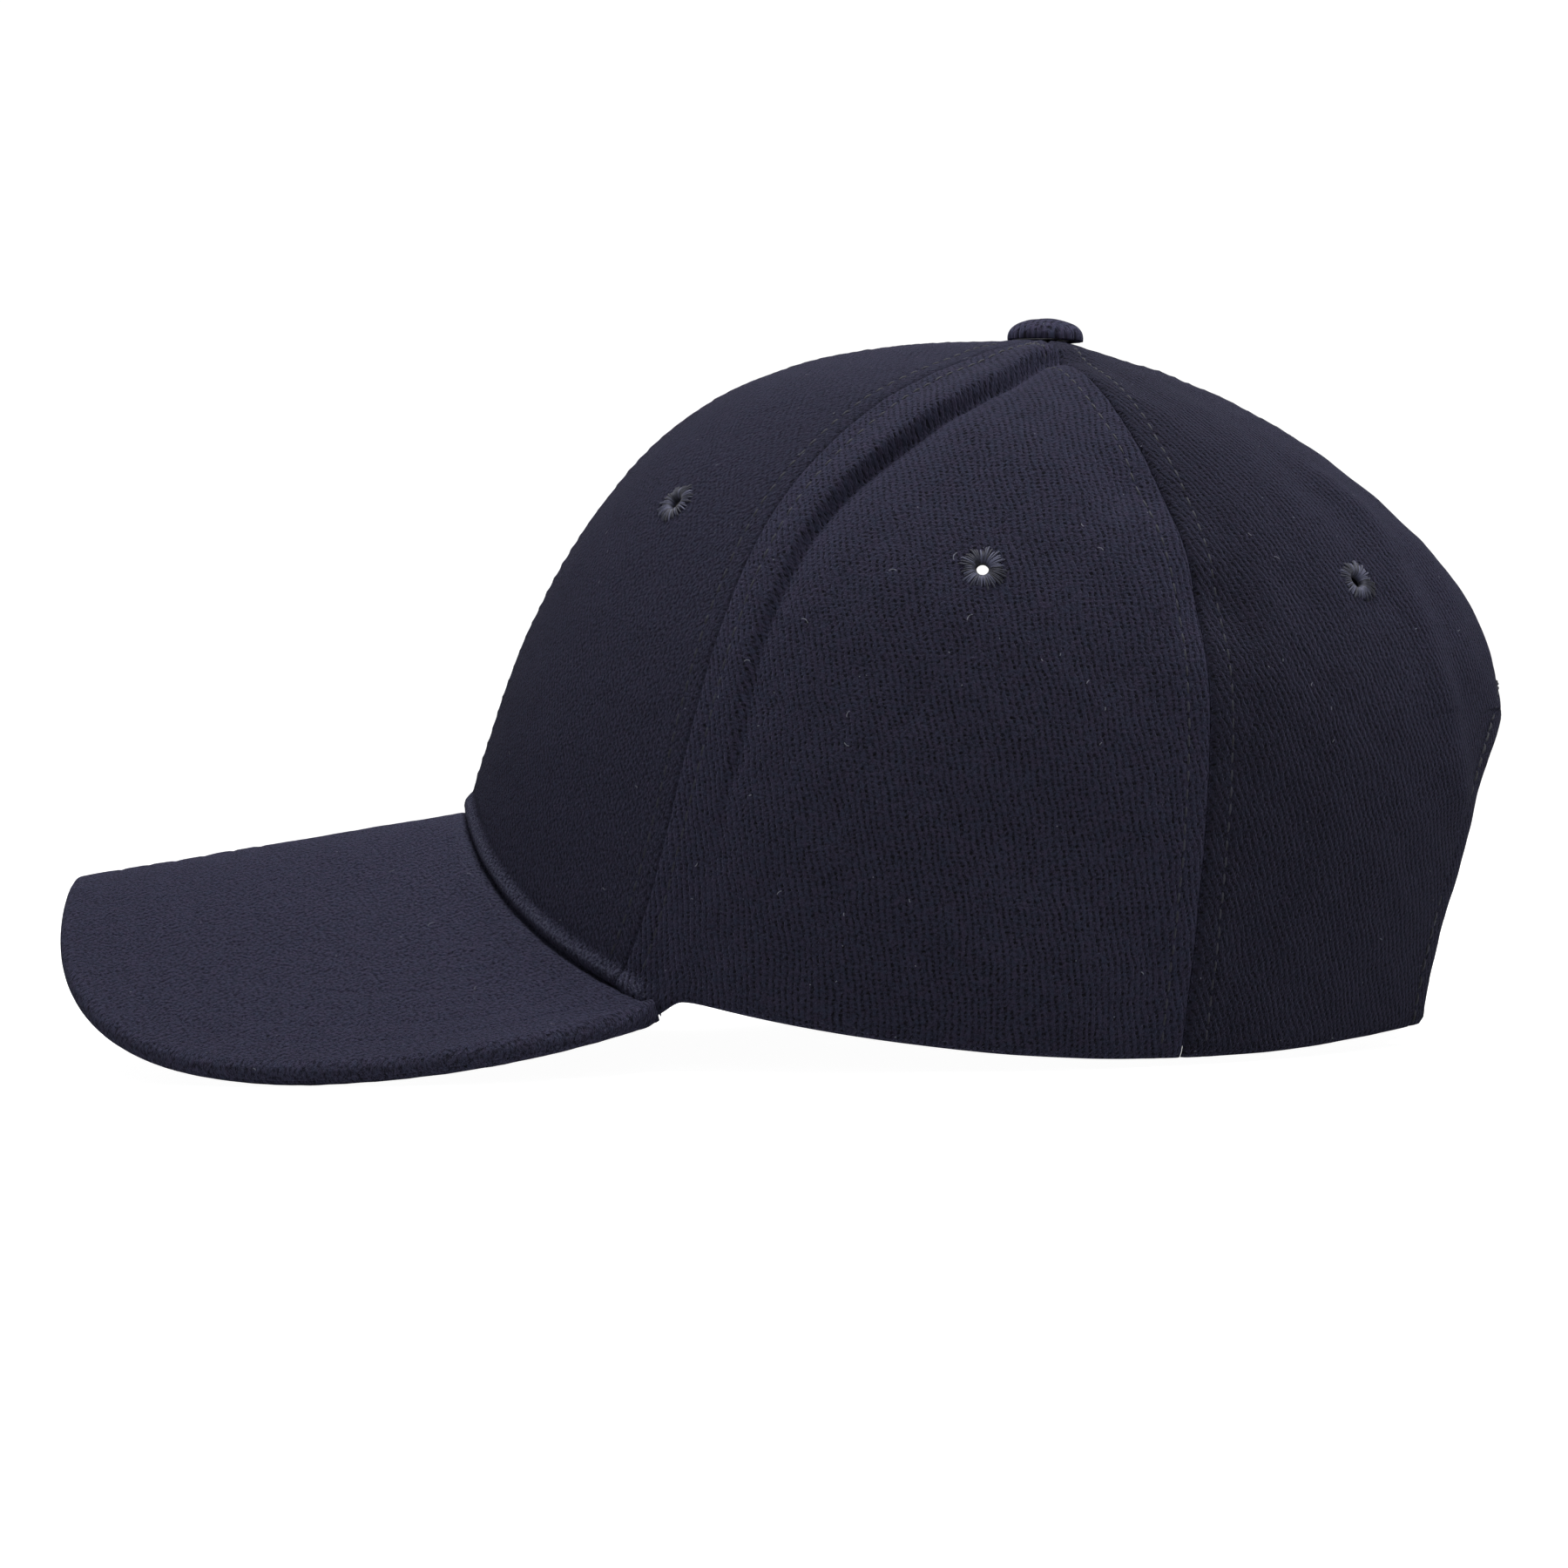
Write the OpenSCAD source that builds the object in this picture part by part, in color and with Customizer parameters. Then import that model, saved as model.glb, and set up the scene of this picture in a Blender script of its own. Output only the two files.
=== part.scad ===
// Six-panel baseball cap with a curved brim and a clamp-buckle strap at the back.
// Millimetres. The brim points to -X, the wearer's left is -Y, and the cap stands on z = 0.

/* [Crown] */
// Length of the crown from the middle of the hem forwards
hem_front = 97.8; // [94:0.2:100]
// Length of the crown from the middle of the hem backwards
hem_back = 99.7; // [96:0.2:102]
// Half the crown's width at the hem
hem_side = 82; // [78:0.5:86]
// Height of the crown's top
crown_top = 141; // [138:0.5:144]
// Height of the hem at the middle of the forehead
forehead_z = 46.7; // [44:0.1:49]
// Thickness of the panels' twill with its seam allowances
panel_t = 1.2; // [0.9:0.05:1.3]

/* [Brim] */
// How far the brim's edge lies forward of its widest place
brim_reach = 82.6; // [76:0.2:86]
// Half the brim's width
brim_side = 82; // [79:0.5:84]
// Thickness of the stiff board in the brim
board_t = 1.9; // [1.5:0.1:2.2]
// Thickness of each cloth cover of the brim
cover_t = 0.8; // [0.6:0.05:1]

/* [Back opening and strap] */
// Half the width of the arch at the hem
arch_side = 36; // [33:0.5:38]
// Height of the arch above the hem
arch_h = 61; // [56:0.5:63]
// Width of the strap
strap_w = 20; // [16:0.5:22]
// Thickness of the strap
strap_t = 1.2; // [1:0.05:1.4]
// Radius of the curve that the strap follows, at its outer face
strap_r = 72; // [70:0.5:74]

/* [Button and eyelets] */
// Diameter of the covered button
button_d = 15.2; // [14:0.2:16]
// Height of the button's dome above its rim
button_h = 4.2; // [3.6:0.1:4.8]
// Outer diameter of an eyelet's stitched ring
eyelet_d = 8.8; // [8:0.2:9.6]
// Diameter of the hole through an eyelet
eyelet_hole = 2.8; // [2.4:0.1:3.4]

/* [Hidden] */

apex_x = 52.5;
hem_x = 34.3;
brim_x = -59;
brim_back = 34.7;
brim_tuck = 14.5;
joint_round = 10;
edge_round = 22;
fold = 5;
joint_end = 53.5;
seat_pitch = 1.33;
// How far the brim's edge reaches below its middle surface
rim_drop = 0.52;
arch_end = 180;
button_hole = 0.988;
seam_gap = 0.09;
step = 0.01;

// Depths below the crown's outer face, at which each inner layer starts and ends
buckram_in = panel_t + 0.15;
buckram_t = 0.7;
tape_in = buckram_in + buckram_t + 0.35;
tape_t = 0.5;
band_in = tape_in + tape_t + 0.3;
band_t = 1.1;
band_h = 30;

function smooth(v) = let(u = min(max(v, 0), 1)) u * u * (3 - 2 * u);
function quartic(s, p) = pow(1 - s, 4) * p[0] + 4 * pow(1 - s, 3) * s * p[1]
    + 6 * pow(1 - s, 2) * s * s * p[2] + 4 * (1 - s) * pow(s, 3) * p[3] + pow(s, 4) * p[4];
function cubic(s, p) = pow(1 - s, 3) * p[0] + 3 * pow(1 - s, 2) * s * p[1]
    + 3 * (1 - s) * s * s * p[2] + pow(s, 3) * p[3];

// One value for the front, the side and the back, blended by the angle round the head
function around(t, front, side, back) =
    side + (cos(t) > 0 ? front - side : back - side) * pow(cos(t), 2);

// The hem: an egg-shaped plan, with the height of its edge arched over the forehead
function bow(y, r) = sqrt(y * y + r * r) - r;
function arch_drop(y) = 0.62 * bow(y, joint_round);
function hem_plan(t) =
    [hem_x - (cos(t) > 0 ? hem_front : hem_back) * cos(t), -hem_side * sin(t)];
function hem_z(t) =
    let(p = hem_plan(t), w = smooth((abs(t) - 52) / 5))
    (forehead_z - arch_drop(p[1])) * (1 - w) + (2.9 + 0.0013 * pow(p[0] - 70, 2)) * w;

// The crown's outer face: t goes round from the forehead, s from the hem to the top
function crown(t, s) =
    let(p = hem_plan(t),
        reach = quartic(s, [1, around(t, 0.941, 1.03, 1.13), around(t, 0.753, 1.12, 1.401),
            around(t, 0.553, 0.62, 0.535), 0]),
        z = quartic(s, [hem_z(t), around(t, 73.2, 48, 64.9), around(t, 133, 108, 88.7),
            around(t, crown_top, 139.3, 132.5), crown_top]))
    [apex_x + reach * (p[0] - apex_x), reach * p[1], z];
function unit(v) = v / norm(v);
function crown_normal(t, s) =
    let(a = crown(t + 0.5, s) - crown(t - 0.5, s),
        b = crown(t, s + step) - crown(t, s - step))
    unit(cross(a, b));
function at_depth(t, s, d) = crown(t, s) - d * crown_normal(t, s);

// The seams, as the angle t at each height s
function seam_front(s) = cubic(s, [47.5, 66, 50, 88]);
function seam_back(s) = cubic(s, [113.2, 117, 122, 97]);

// The arch at the back: the angle t of its edge at height s
arch_s = [for (s = [0.1:step:0.9]) if (crown(180, s)[2] < hem_z(180) + arch_h) s];
arch_top = arch_s[len(arch_s) - 1];
function arch_half(s) =
    let(rise = min(max((crown(168, s)[2] - hem_z(168)) / (crown(180, arch_top)[2] - hem_z(180)), 0), 1))
    arch_side * pow(1 - pow(rise, 2.6), 0.4545);
function arch_edge(s) =
    s >= arch_top ? arch_end
    : 180 - asin(min(arch_half(s) / abs(crown(90, s)[1]), 0.9));

// A closed sheet between two depths over a grid of (t, s) points, as rows of equal length
function grid_faces(rows, cols) = [
    for (i = [0:rows - 2], j = [0:cols - 2], side = [0, 1])
        let(o = side * rows * cols, a = o + i * cols + j, b = a + 1, c = a + cols, d = c + 1)
        each side == 0 ? [[a, b, d], [a, d, c]] : [[a, d, b], [a, c, d]],
    for (i = [0:rows - 2], j = [0, cols - 1])
        let(a = i * cols + j, b = a + cols, n = rows * cols)
        each j == 0 ? [[a, b, b + n], [a, b + n, a + n]] : [[a, b + n, b], [a, a + n, b + n]],
    for (j = [0:cols - 2], i = [0, rows - 1])
        let(a = i * cols + j, b = a + 1, n = rows * cols)
        each i == 0 ? [[a, b + n, b], [a, a + n, b + n]] : [[a, b, b + n], [a, b + n, a + n]]];
module sheet(outer, inner) {
    rows = len(outer);
    cols = len(outer[0]);
    polyhedron(
        points = [for (r = outer) each r, for (r = inner) each r],
        faces = grid_faces(rows, cols),
        convexity = 8);
}
module crown_sheet(grid, d0, d1) {
    sheet([for (r = grid) [for (p = r) at_depth(p[0], p[1], d1)]],
        [for (r = grid) [for (p = r) at_depth(p[0], p[1], d0)]]);
}

// The cap as sewn is tipped so that it stands on its brim and its hem
function tipped(p) = [p[0] * cos(seat_pitch) + p[2] * sin(seat_pitch), p[1],
    p[2] * cos(seat_pitch) - p[0] * sin(seat_pitch)];
rear_x = max([for (s = [0.3:step:0.8]) tipped(crown(180, s))[0]]);
tip_x = min([for (w = [0:2:30]) tipped(brim_edge(w))[0]]) - 0.3;
stand_z = min([for (w = [60:2:118]) tipped(brim_edge(w))[2]]) - rim_drop;
seat = [-(rear_x + tip_x) / 2, 0, -stand_z];
module seated() {
    translate(seat) rotate([0, seat_pitch, 0]) children();
}

// Rows of heights, closer together round the top of the arch
low_rows = [for (i = [0:9]) arch_top * pow(sin(10 * i), 0.8)];
high_rows = [for (i = [1:7]) arch_top + (button_hole - arch_top) * i / 7];
back_rows = concat(low_rows, high_rows);
plain_rows = [for (i = [0:14]) button_hole * i / 14];

module front_panel(side) {
    color("#23253a") seated() mirror([0, side, 0])
        crown_sheet([for (s = plain_rows)
            [for (j = [0:9]) let(a = seam_gap, b = seam_front(s) - seam_gap)
                [a + (b - a) * j / 9, s]]], 0, panel_t);
}
module side_panel(side) {
    color("#232539") seated() mirror([0, side, 0])
        crown_sheet([for (s = plain_rows)
            [for (j = [0:10]) let(a = seam_front(s) + seam_gap, b = seam_back(s) - seam_gap)
                [a + (b - a) * j / 10, s]]], 0, panel_t);
}
module back_panel(side) {
    color("#222438") seated() mirror([0, side, 0])
        crown_sheet([for (s = back_rows)
            [for (j = [0:9]) let(a = seam_back(s) + seam_gap, b = arch_edge(s) - seam_gap)
                [a + (b - a) * j / 9, s]]], 0, panel_t);
}
// Stiff lining of a front panel, which stops short of the button
module buckram(side) {
    color("#d8d6cf") seated() mirror([0, side, 0])
        crown_sheet([for (s = [for (i = [0:12]) 0.03 + 0.91 * i / 12])
            [for (j = [0:8]) [0.2 + (seam_front(s) - 0.6) * j / 8, s]]],
            buckram_in, buckram_in + buckram_t);
}

// A tape sewn over a seam on the inside, with each edge tape_half from the seam
tape_half = 5;
function degrees_for(t, s, width) =
    width / norm(crown(t + 1, s) - crown(t, s));
module seam_tape(low, high, seam) {
    color("#1d1f30") crown_sheet([for (i = [0:12]) let(s = low + (high - low) * i / 12,
        t = seam == 0 ? 0 : seam == 1 ? seam_front(s) : seam == 2 ? seam_back(s) : 180,
        w = degrees_for(t, s, tape_half))
        [for (j = [-1:1]) [t + w * j, s]]], tape_in, tape_in + tape_t);
}
module front_side_tape(side) {
    seated() mirror([0, side, 0]) seam_tape(0.1, 0.9, 1);
}
module side_back_tape(side) {
    seated() mirror([0, side, 0]) seam_tape(0.1, 0.9, 2);
}

// The inner band lies further in at the back, where the strap's end passes behind it
band_end = 149;
function band_depth(t) = band_in + 4.5 * smooth((abs(t) - 112) / 22);
// Length of the crown's face from the hem to the top
face_l = 175;
module sweatband() {
    grid = [for (z = [1.5, band_h / 2, band_h])
        [for (j = [-28:28]) [band_end * j / 28, z / face_l]]];
    color("#1f2133") seated() sheet(
        [for (r = grid) [for (p = r) at_depth(p[0], p[1], band_depth(p[0]) + band_t)]],
        [for (r = grid) [for (p = r) at_depth(p[0], p[1], band_depth(p[0]))]]);
}

// The facing turned in round the arch's edge
facing_w = 6;
module arch_facing() {
    low = low_rows;
    path = concat(
        [for (s = low) [arch_edge(s), s]],
        [for (i = [1:9]) let(s = low[9 - i]) [360 - arch_edge(s), s]]);
    function edge_at(i) = let(p = path[i]) at_depth(p[0], p[1], 0);
    function out_dir(i) =
        let(a = path[max(i - 1, 0)], b = path[min(i + 1, len(path) - 1)],
            along = at_depth(b[0], b[1], 0) - at_depth(a[0], a[1], 0),
            n = crown_normal(path[i][0], path[i][1]))
        unit(cross(along, n));
    function point(i, out, d) = edge_at(i) - out * out_dir(i)
        - (d + pow(out, 2) / 80) * crown_normal(path[i][0], path[i][1]);
    n = len(path) - 1;
    color("#1d1f30") seated() sheet(
        [for (i = [0:n]) [for (k = [0, 0.5, 1]) point(i, 0.3 + facing_w * k, panel_t + 0.55)]],
        [for (i = [0:n]) [for (k = [0, 0.5, 1]) point(i, 0.3 + facing_w * k, panel_t + 1.05)]]);
}

// The brim: straight lines from the joint at the hem to the outer edge, half as q = 0 to 1
brim_half_t = board_t / 2 + cover_t;
function brim_edge(w) =
    let(tau = max((w - 90) / 28, 0), u = min(w, 90),
        x = w <= 90 ? brim_x - brim_reach * pow(cos(u), 0.8) : brim_x + brim_back * tau,
        y = w <= 90 ? brim_side * pow(sin(u), 0.8) : brim_side - brim_tuck * pow(tau, 2.2),
        k = w <= 90 ? 0.548 + 0.025 * pow(w / 90, 4) : 0.573 + 0.075 * pow(tau, 1.6),
        drop = k * bow(y, fold),
        rise = 0.573 * bow(brim_side, fold) / bow(brim_side, edge_round),
        wide = w <= 90 ? sqrt(pow(drop / rise + edge_round, 2) - edge_round * edge_round) : y)
    [x, -wide, 46.2 + 0.19 * (x + 63.5) - drop];
function brim_joint(t) =
    let(p = hem_plan(t), r = 1 - 1 / norm(p - [hem_x, 0]))
    [hem_x + r * (p[0] - hem_x), r * p[1],
        forehead_z - arch_drop(p[1]) - brim_half_t / cos(29) - 0.35];
function brim_mid(q, v) =
    let(a = abs(q), j = brim_joint(joint_end * a), e = brim_edge(90 * a + 28 * pow(a, 4)),
        p = j + (e - j) * v)
    [p[0], q < 0 ? -p[1] : p[1], p[2]];
function brim_normal(q, v) =
    let(f = min(max(v, 0.02), 0.98), h = min(max(q, -0.98), 0.98),
        a = brim_mid(h + 0.01, f) - brim_mid(h - 0.01, f),
        b = brim_mid(h, f + 0.01) - brim_mid(h, f - 0.01))
    unit(cross(b, a));
function brim_at(q, v, d) = brim_mid(q, v) + d * brim_normal(q, v);
brim_cols = 14;
function brim_q(j) = sin(90 * j / brim_cols) * 0.995;
function rim(v) = v < 0.9 ? 1 : sqrt(max(1 - pow((v - 0.9) / 0.1, 2) * 0.93, 0));
module brim_layer(lo, hi, reach, cols = brim_cols) {
    rows = [0, 0.25, 0.5, 0.75, 0.9, 0.95, 1];
    seated() sheet(
        [for (v = rows) [for (j = [-cols:cols])
            brim_at(brim_q(j), v * reach, hi * rim(v * reach))]],
        [for (v = rows) [for (j = [-cols:cols])
            brim_at(brim_q(j), v * reach, lo * rim(v * reach))]]);
}
module brim_board() {
    color("#e9e7e0") brim_layer(-board_t / 2, board_t / 2, 0.96, brim_cols - 2);
}
module brim_top_cover() {
    color("#2a2c45") brim_layer(board_t / 2 + 0.1, brim_half_t + 0.1, 1);
}
module brim_under_cover() {
    color("#262840") brim_layer(-brim_half_t - 0.1, -board_t / 2 - 0.1, 1);
}

// The button on the top: a cloth cover over a domed metal shell, held by a prong and washer
button_z = crown_top + 0.1;
module at_button() {
    seated() translate([apex_x, 0, button_z]) children();
}
module dome(d, h, rim_h) {
    rotate_extrude($fn = 48) union() {
        square([d / 2 - rim_h, h]);
        translate([d / 2 - rim_h, rim_h * 0.6]) intersection() {
            scale([1, (h - rim_h * 0.6) / rim_h]) circle(r = rim_h, $fn = 48);
            square([rim_h, h]);
        }
        translate([d / 2 - rim_h - 0.01, 0]) square([rim_h + 0.01, rim_h * 0.6]);
    }
}
module button_cover() {
    color("#1f2136") at_button() difference() {
        dome(button_d, button_h, 3);
        translate([0, 0, -0.01]) dome(button_d - 1.6, button_h - 0.8, 2.6);
    }
}
module button_shell() {
    color("silver") at_button() difference() {
        dome(button_d - 1.7, button_h - 0.85, 2.6);
        translate([0, 0, -0.01]) dome(button_d - 3.1, button_h - 1.55, 2);
    }
}
module button_prong() {
    color("silver") at_button() union() {
        translate([0, 0, -5.5]) cylinder(h = 5.5 + button_h - 1.6, d = 2, $fn = 32);
        translate([0, 0, 0.15]) cylinder(h = 0.6, d = button_d - 4, $fn = 48);
    }
}
module button_washer() {
    color("silver") at_button() translate([0, 0, -4.8]) difference() {
        cylinder(h = 0.6, d = 9, $fn = 48);
        translate([0, 0, -0.1]) cylinder(h = 0.8, d = 2.1, $fn = 32);
    }
}

// A stitched eyelet: a low ring round a hole, square to the crown's face
module eyelet(side, t, s) {
    n = crown_normal(t, s);
    color("#191b2c") seated() mirror([0, side, 0]) translate(crown(t, s))
        rotate([0, acos(n[2]), atan2(n[1], n[0])]) rotate_extrude($fn = 36)
            translate([eyelet_hole / 2, 0.12]) union() {
                square([(eyelet_d - eyelet_hole) / 2 - 0.3, 0.4]);
                translate([0.5, 0]) square([(eyelet_d - eyelet_hole) / 2 - 1.2, 0.55]);
            }
}
// Where each eyelet lies, as [t, s]
eyelet_front = [40.4, 0.502];
eyelet_side_left = [90.5, 0.481];
eyelet_side_right = [94.3, 0.506];
eyelet_back = [140.3, 0.489];

// The strap and its buckle stand upright on the cap's own axes
strap_rear = 128.4;
strap_x = seat[0] + strap_rear - strap_r;
strap_z = 8.6;
strap_lean = 9;
strap_start = -47;
strap_stop = 43;
buckle_turn = 20;
clear = 0.3;
module leaning_wall(r, t, h, from, to) {
    rotate([0, 0, from]) rotate_extrude(angle = to - from, $fn = 180)
        polygon([[r - t, 0], [r, 0], [r + h * tan(strap_lean), h], [r - t + h * tan(strap_lean), h]]);
}
module strap() {
    color("#232539") translate([strap_x, 0, strap_z])
        leaning_wall(strap_r, strap_t, strap_w, strap_start, strap_stop);
}

// The buckle's own axes: x outwards from the strap's face, y along the strap, z up its slope
module at_buckle() {
    translate([strap_x, 0, strap_z]) rotate([0, 0, buckle_turn])
        translate([strap_r, 0, 0]) rotate([0, strap_lean, 0]) children();
}
plate_t = 0.8;
buckle_l = 13;
pin_r = 0.75;
pin_x = 2.7;
pin_y = -3.6;
ear_gap = 0.5;
ear_z = [-ear_gap - plate_t, strap_w + ear_gap];
bar_y = 4.9;
bar_r = 0.6;
bar_x = 1.5;
tab_t = 0.5;
knuckle_r = 2.1;
lever_l = 7.6;
module ear_outline() {
    difference() {
        hull() {
            translate([-strap_t - 1.3, -buckle_l / 2]) square([3.2, buckle_l]);
            translate([pin_x, pin_y]) circle(r = 1.7, $fn = 32);
        }
        translate([pin_x, pin_y]) circle(r = pin_r, $fn = 32);
        translate([bar_x, bar_y]) circle(r = bar_r, $fn = 32);
    }
}
module buckle_frame() {
    color("#b9975a") at_buckle() union() {
        for (z = ear_z) translate([0, 0, z]) linear_extrude(plate_t) ear_outline();
        translate([-strap_t - 1.3, -buckle_l / 2, ear_z[0] + plate_t - 0.01])
            cube([plate_t, buckle_l, strap_w + 2 * ear_gap + 0.02]);
    }
}
module hinge_pin() {
    color("#a8874e") at_buckle() translate([pin_x, pin_y, ear_z[0]])
        cylinder(h = strap_w + 2 * ear_gap + 2 * plate_t, r = pin_r, $fn = 32);
}
module tab_bar() {
    color("#a8874e") at_buckle() translate([bar_x, bar_y, ear_z[0]])
        cylinder(h = strap_w + 2 * ear_gap + 2 * plate_t, r = bar_r, $fn = 32);
}
// The lever lies over the strap when closed, and its nose turns away as it opens
module buckle_lever() {
    color("#b9975a") at_buckle() translate([0, 0, clear]) linear_extrude(strap_w - 2 * clear)
        difference() {
            union() {
                translate([pin_x, pin_y]) circle(r = knuckle_r, $fn = 48);
                translate([pin_x + 0.35, pin_y]) square([1, lever_l]);
            }
            translate([pin_x, pin_y]) circle(r = pin_r + 0.05, $fn = 48);
        }
}
// A loop of cloth round the bar, with its ends sewn inside the arch's corner
module strap_tab() {
    tab_w = strap_w - 3;
    color("#232539") at_buckle() translate([0, 0, 1.5]) linear_extrude(tab_w) union() {
        difference() {
            translate([bar_x, bar_y]) circle(r = bar_r + 0.05 + tab_t, $fn = 48);
            translate([bar_x, bar_y]) circle(r = bar_r + 0.05, $fn = 48);
        }
        translate([bar_x + bar_r + 0.05, bar_y]) rotate(7) square([tab_t, 13]);
    }
}

front_panel(0);  // front_panel_left
front_panel(1);  // front_panel_right
side_panel(0);  // side_panel_left
side_panel(1);  // side_panel_right
back_panel(0);  // back_panel_left
back_panel(1);  // back_panel_right
buckram(0);  // buckram_left
buckram(1);  // buckram_right
seated() seam_tape(0.08, 0.9, 0);  // seam_tape_front
front_side_tape(0);  // seam_tape_front_side_left
front_side_tape(1);  // seam_tape_front_side_right
side_back_tape(0);  // seam_tape_side_back_left
side_back_tape(1);  // seam_tape_side_back_right
seated() seam_tape(arch_top + 0.09, 0.9, 3);  // seam_tape_back
sweatband();
arch_facing();
brim_board();
brim_top_cover();
brim_under_cover();
button_cover();
button_shell();
button_prong();
button_washer();
eyelet(0, eyelet_front[0], eyelet_front[1]);  // eyelet_front_left
eyelet(1, eyelet_front[0], eyelet_front[1]);  // eyelet_front_right
eyelet(0, eyelet_side_left[0], eyelet_side_left[1]);
eyelet(1, eyelet_side_right[0], eyelet_side_right[1]);
eyelet(0, eyelet_back[0], eyelet_back[1]);  // eyelet_back_left
eyelet(1, eyelet_back[0], eyelet_back[1]);  // eyelet_back_right
strap();
strap_tab();
tab_bar();
buckle_frame();
hinge_pin();
buckle_lever();
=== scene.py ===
import math
import bpy
import numpy as np
from mathutils import Matrix, Vector


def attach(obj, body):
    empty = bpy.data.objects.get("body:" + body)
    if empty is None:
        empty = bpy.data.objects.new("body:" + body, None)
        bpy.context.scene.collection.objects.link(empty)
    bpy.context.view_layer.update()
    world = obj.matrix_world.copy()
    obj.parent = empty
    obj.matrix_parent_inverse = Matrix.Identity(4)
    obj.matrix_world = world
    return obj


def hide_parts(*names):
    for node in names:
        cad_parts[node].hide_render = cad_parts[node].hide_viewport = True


# A six-panel baseball cap. The brim points to -X and the wearer's left is -Y.
# Shapes are worked out in millimetres on the cap as sewn, then tipped and set down on z = 0.
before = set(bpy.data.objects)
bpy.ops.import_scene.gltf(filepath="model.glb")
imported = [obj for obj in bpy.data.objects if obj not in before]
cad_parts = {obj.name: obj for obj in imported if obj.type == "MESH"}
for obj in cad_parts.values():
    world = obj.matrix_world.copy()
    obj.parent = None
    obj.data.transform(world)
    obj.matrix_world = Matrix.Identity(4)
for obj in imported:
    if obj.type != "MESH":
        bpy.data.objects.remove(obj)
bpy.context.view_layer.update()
bpy.ops.object.select_all(action="DESELECT")
print("frame loaded")

mm = 0.001
rng = np.random.default_rng(7)


def unit(v):
    return v / np.linalg.norm(v, axis=-1, keepdims=True)


def smooth(v):
    u = np.clip(v, 0, 1)
    return u * u * (3 - 2 * u)


def bell(distance, width):
    return np.exp(-((distance / width) ** 2))


def bezier(s, knots):
    n = len(knots) - 1
    return sum(math.comb(n, i) * (1 - s) ** (n - i) * s**i * k for i, k in enumerate(knots))


def wobble(points, size, seed):
    # soft unevenness, about size millimetres from hump to hump, from -1 to 1
    random = np.random.default_rng(seed)
    total = 0
    for _ in range(7):
        way = unit(random.normal(size=3)) * 2 * math.pi / size * random.uniform(0.6, 1.5)
        total = total + np.sin(points @ way + random.uniform(0, 2 * math.pi))
    return total / 4


def lengths(line):
    return np.concatenate([[0], np.cumsum(np.linalg.norm(np.diff(line, axis=0), axis=1))])


def nearest(points, line):
    # how far each point is from a close-set line, and how far along the line its nearest place lies
    flat = points.reshape(-1, 3)
    gaps = (flat**2).sum(1)[:, None] + (line**2).sum(1)[None] - 2 * flat @ line.T
    place = gaps.argmin(1)
    away = np.sqrt(np.maximum(gaps[np.arange(len(flat)), place], 0))
    return away.reshape(points.shape[:-1]), lengths(line)[place].reshape(points.shape[:-1])


def spline(knots, steps):
    # a smooth curve through given points
    p = np.array([2 * np.array(knots[0]) - knots[1], *knots, 2 * np.array(knots[-1]) - knots[-2]], float)
    u = np.linspace(0, len(knots) - 1 - 1e-9, steps)
    i = u.astype(int)
    f = (u - i)[:, None]
    a, b, c, d = p[i], p[i + 1], p[i + 2], p[i + 3]
    return 0.5 * (2 * b + (c - a) * f + (2 * a - 5 * b + 4 * c - d) * f**2 + (3 * b - a - 3 * c + d) * f**3)


# the crown, in millimetres and degrees, before it is tipped
crownForm = {
    "jointRound": 10.0,
    "apexX": 52.5,
    "hemX": 34.3,
    "hemFront": 97.8,
    "hemBack": 99.7,
    "hemSide": 82.0,
    "top": 141.0,
    "foreheadZ": 46.7,
    "buttonHole": 0.988,
    "archSide": 36.0,
    "archHeight": 61.0,
    "jointDrop": 0.62,
    "hemLow": (2.9, 0.0013, 70.0),  # lowest height, curve, place along X
    # the three inner knots of the side curve, each as (front, side, back)
    "reach": [(0.941, 1.03, 1.13), (0.753, 1.12, 1.401), (0.553, 0.62, 0.535)],
    "heights": [(73.2, 48, 64.9), (133, 108, 88.7), (141.0, 139.3, 132.5)],
    "seamFront": [47.5, 66, 50, 88],
    "seamBack": [113.2, 117, 122, 97],
    "pitch": 1.33,
}


def around(t, front, side, back):
    c = np.cos(np.radians(t))
    return side + np.where(c > 0, front - side, back - side) * c * c


def bow(y, r):
    return np.sqrt(y * y + r * r) - r


def archDrop(y):
    return crownForm["jointDrop"] * bow(y, crownForm["jointRound"])


def hemPlan(t):
    f = crownForm
    c = np.cos(np.radians(t))
    x = f["hemX"] - np.where(c > 0, f["hemFront"], f["hemBack"]) * c
    return x, -f["hemSide"] * np.sin(np.radians(t))


def hemZ(t):
    x, y = hemPlan(t)
    w = smooth((np.abs(t) - 52) / 5)
    low, curve, lowX = crownForm["hemLow"]
    return (crownForm["foreheadZ"] - archDrop(y)) * (1 - w) + (low + curve * (x - lowX) ** 2) * w


def crownPoint(t, s):
    # t goes round from the forehead in degrees, s from the hem to the top
    t, s = np.broadcast_arrays(np.asarray(t, float), np.asarray(s, float))
    x, y = hemPlan(t)
    top, apexX = crownForm["top"], crownForm["apexX"]
    reach = bezier(s, [1, *(around(t, *knot) for knot in crownForm["reach"]), 0])
    z = bezier(s, [hemZ(t), *(around(t, *knot) for knot in crownForm["heights"]), top])
    return np.stack([apexX + reach * (x - apexX), reach * y, z], -1)


def crownNormal(t, s):
    sideways = crownPoint(t + 0.5, s) - crownPoint(t - 0.5, s)
    upward = crownPoint(t, s + 0.01) - crownPoint(t, s - 0.01)
    return unit(np.cross(sideways, upward))


def seamFront(s):
    return bezier(s, crownForm["seamFront"])


def seamBack(s):
    return bezier(s, crownForm["seamBack"])


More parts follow.
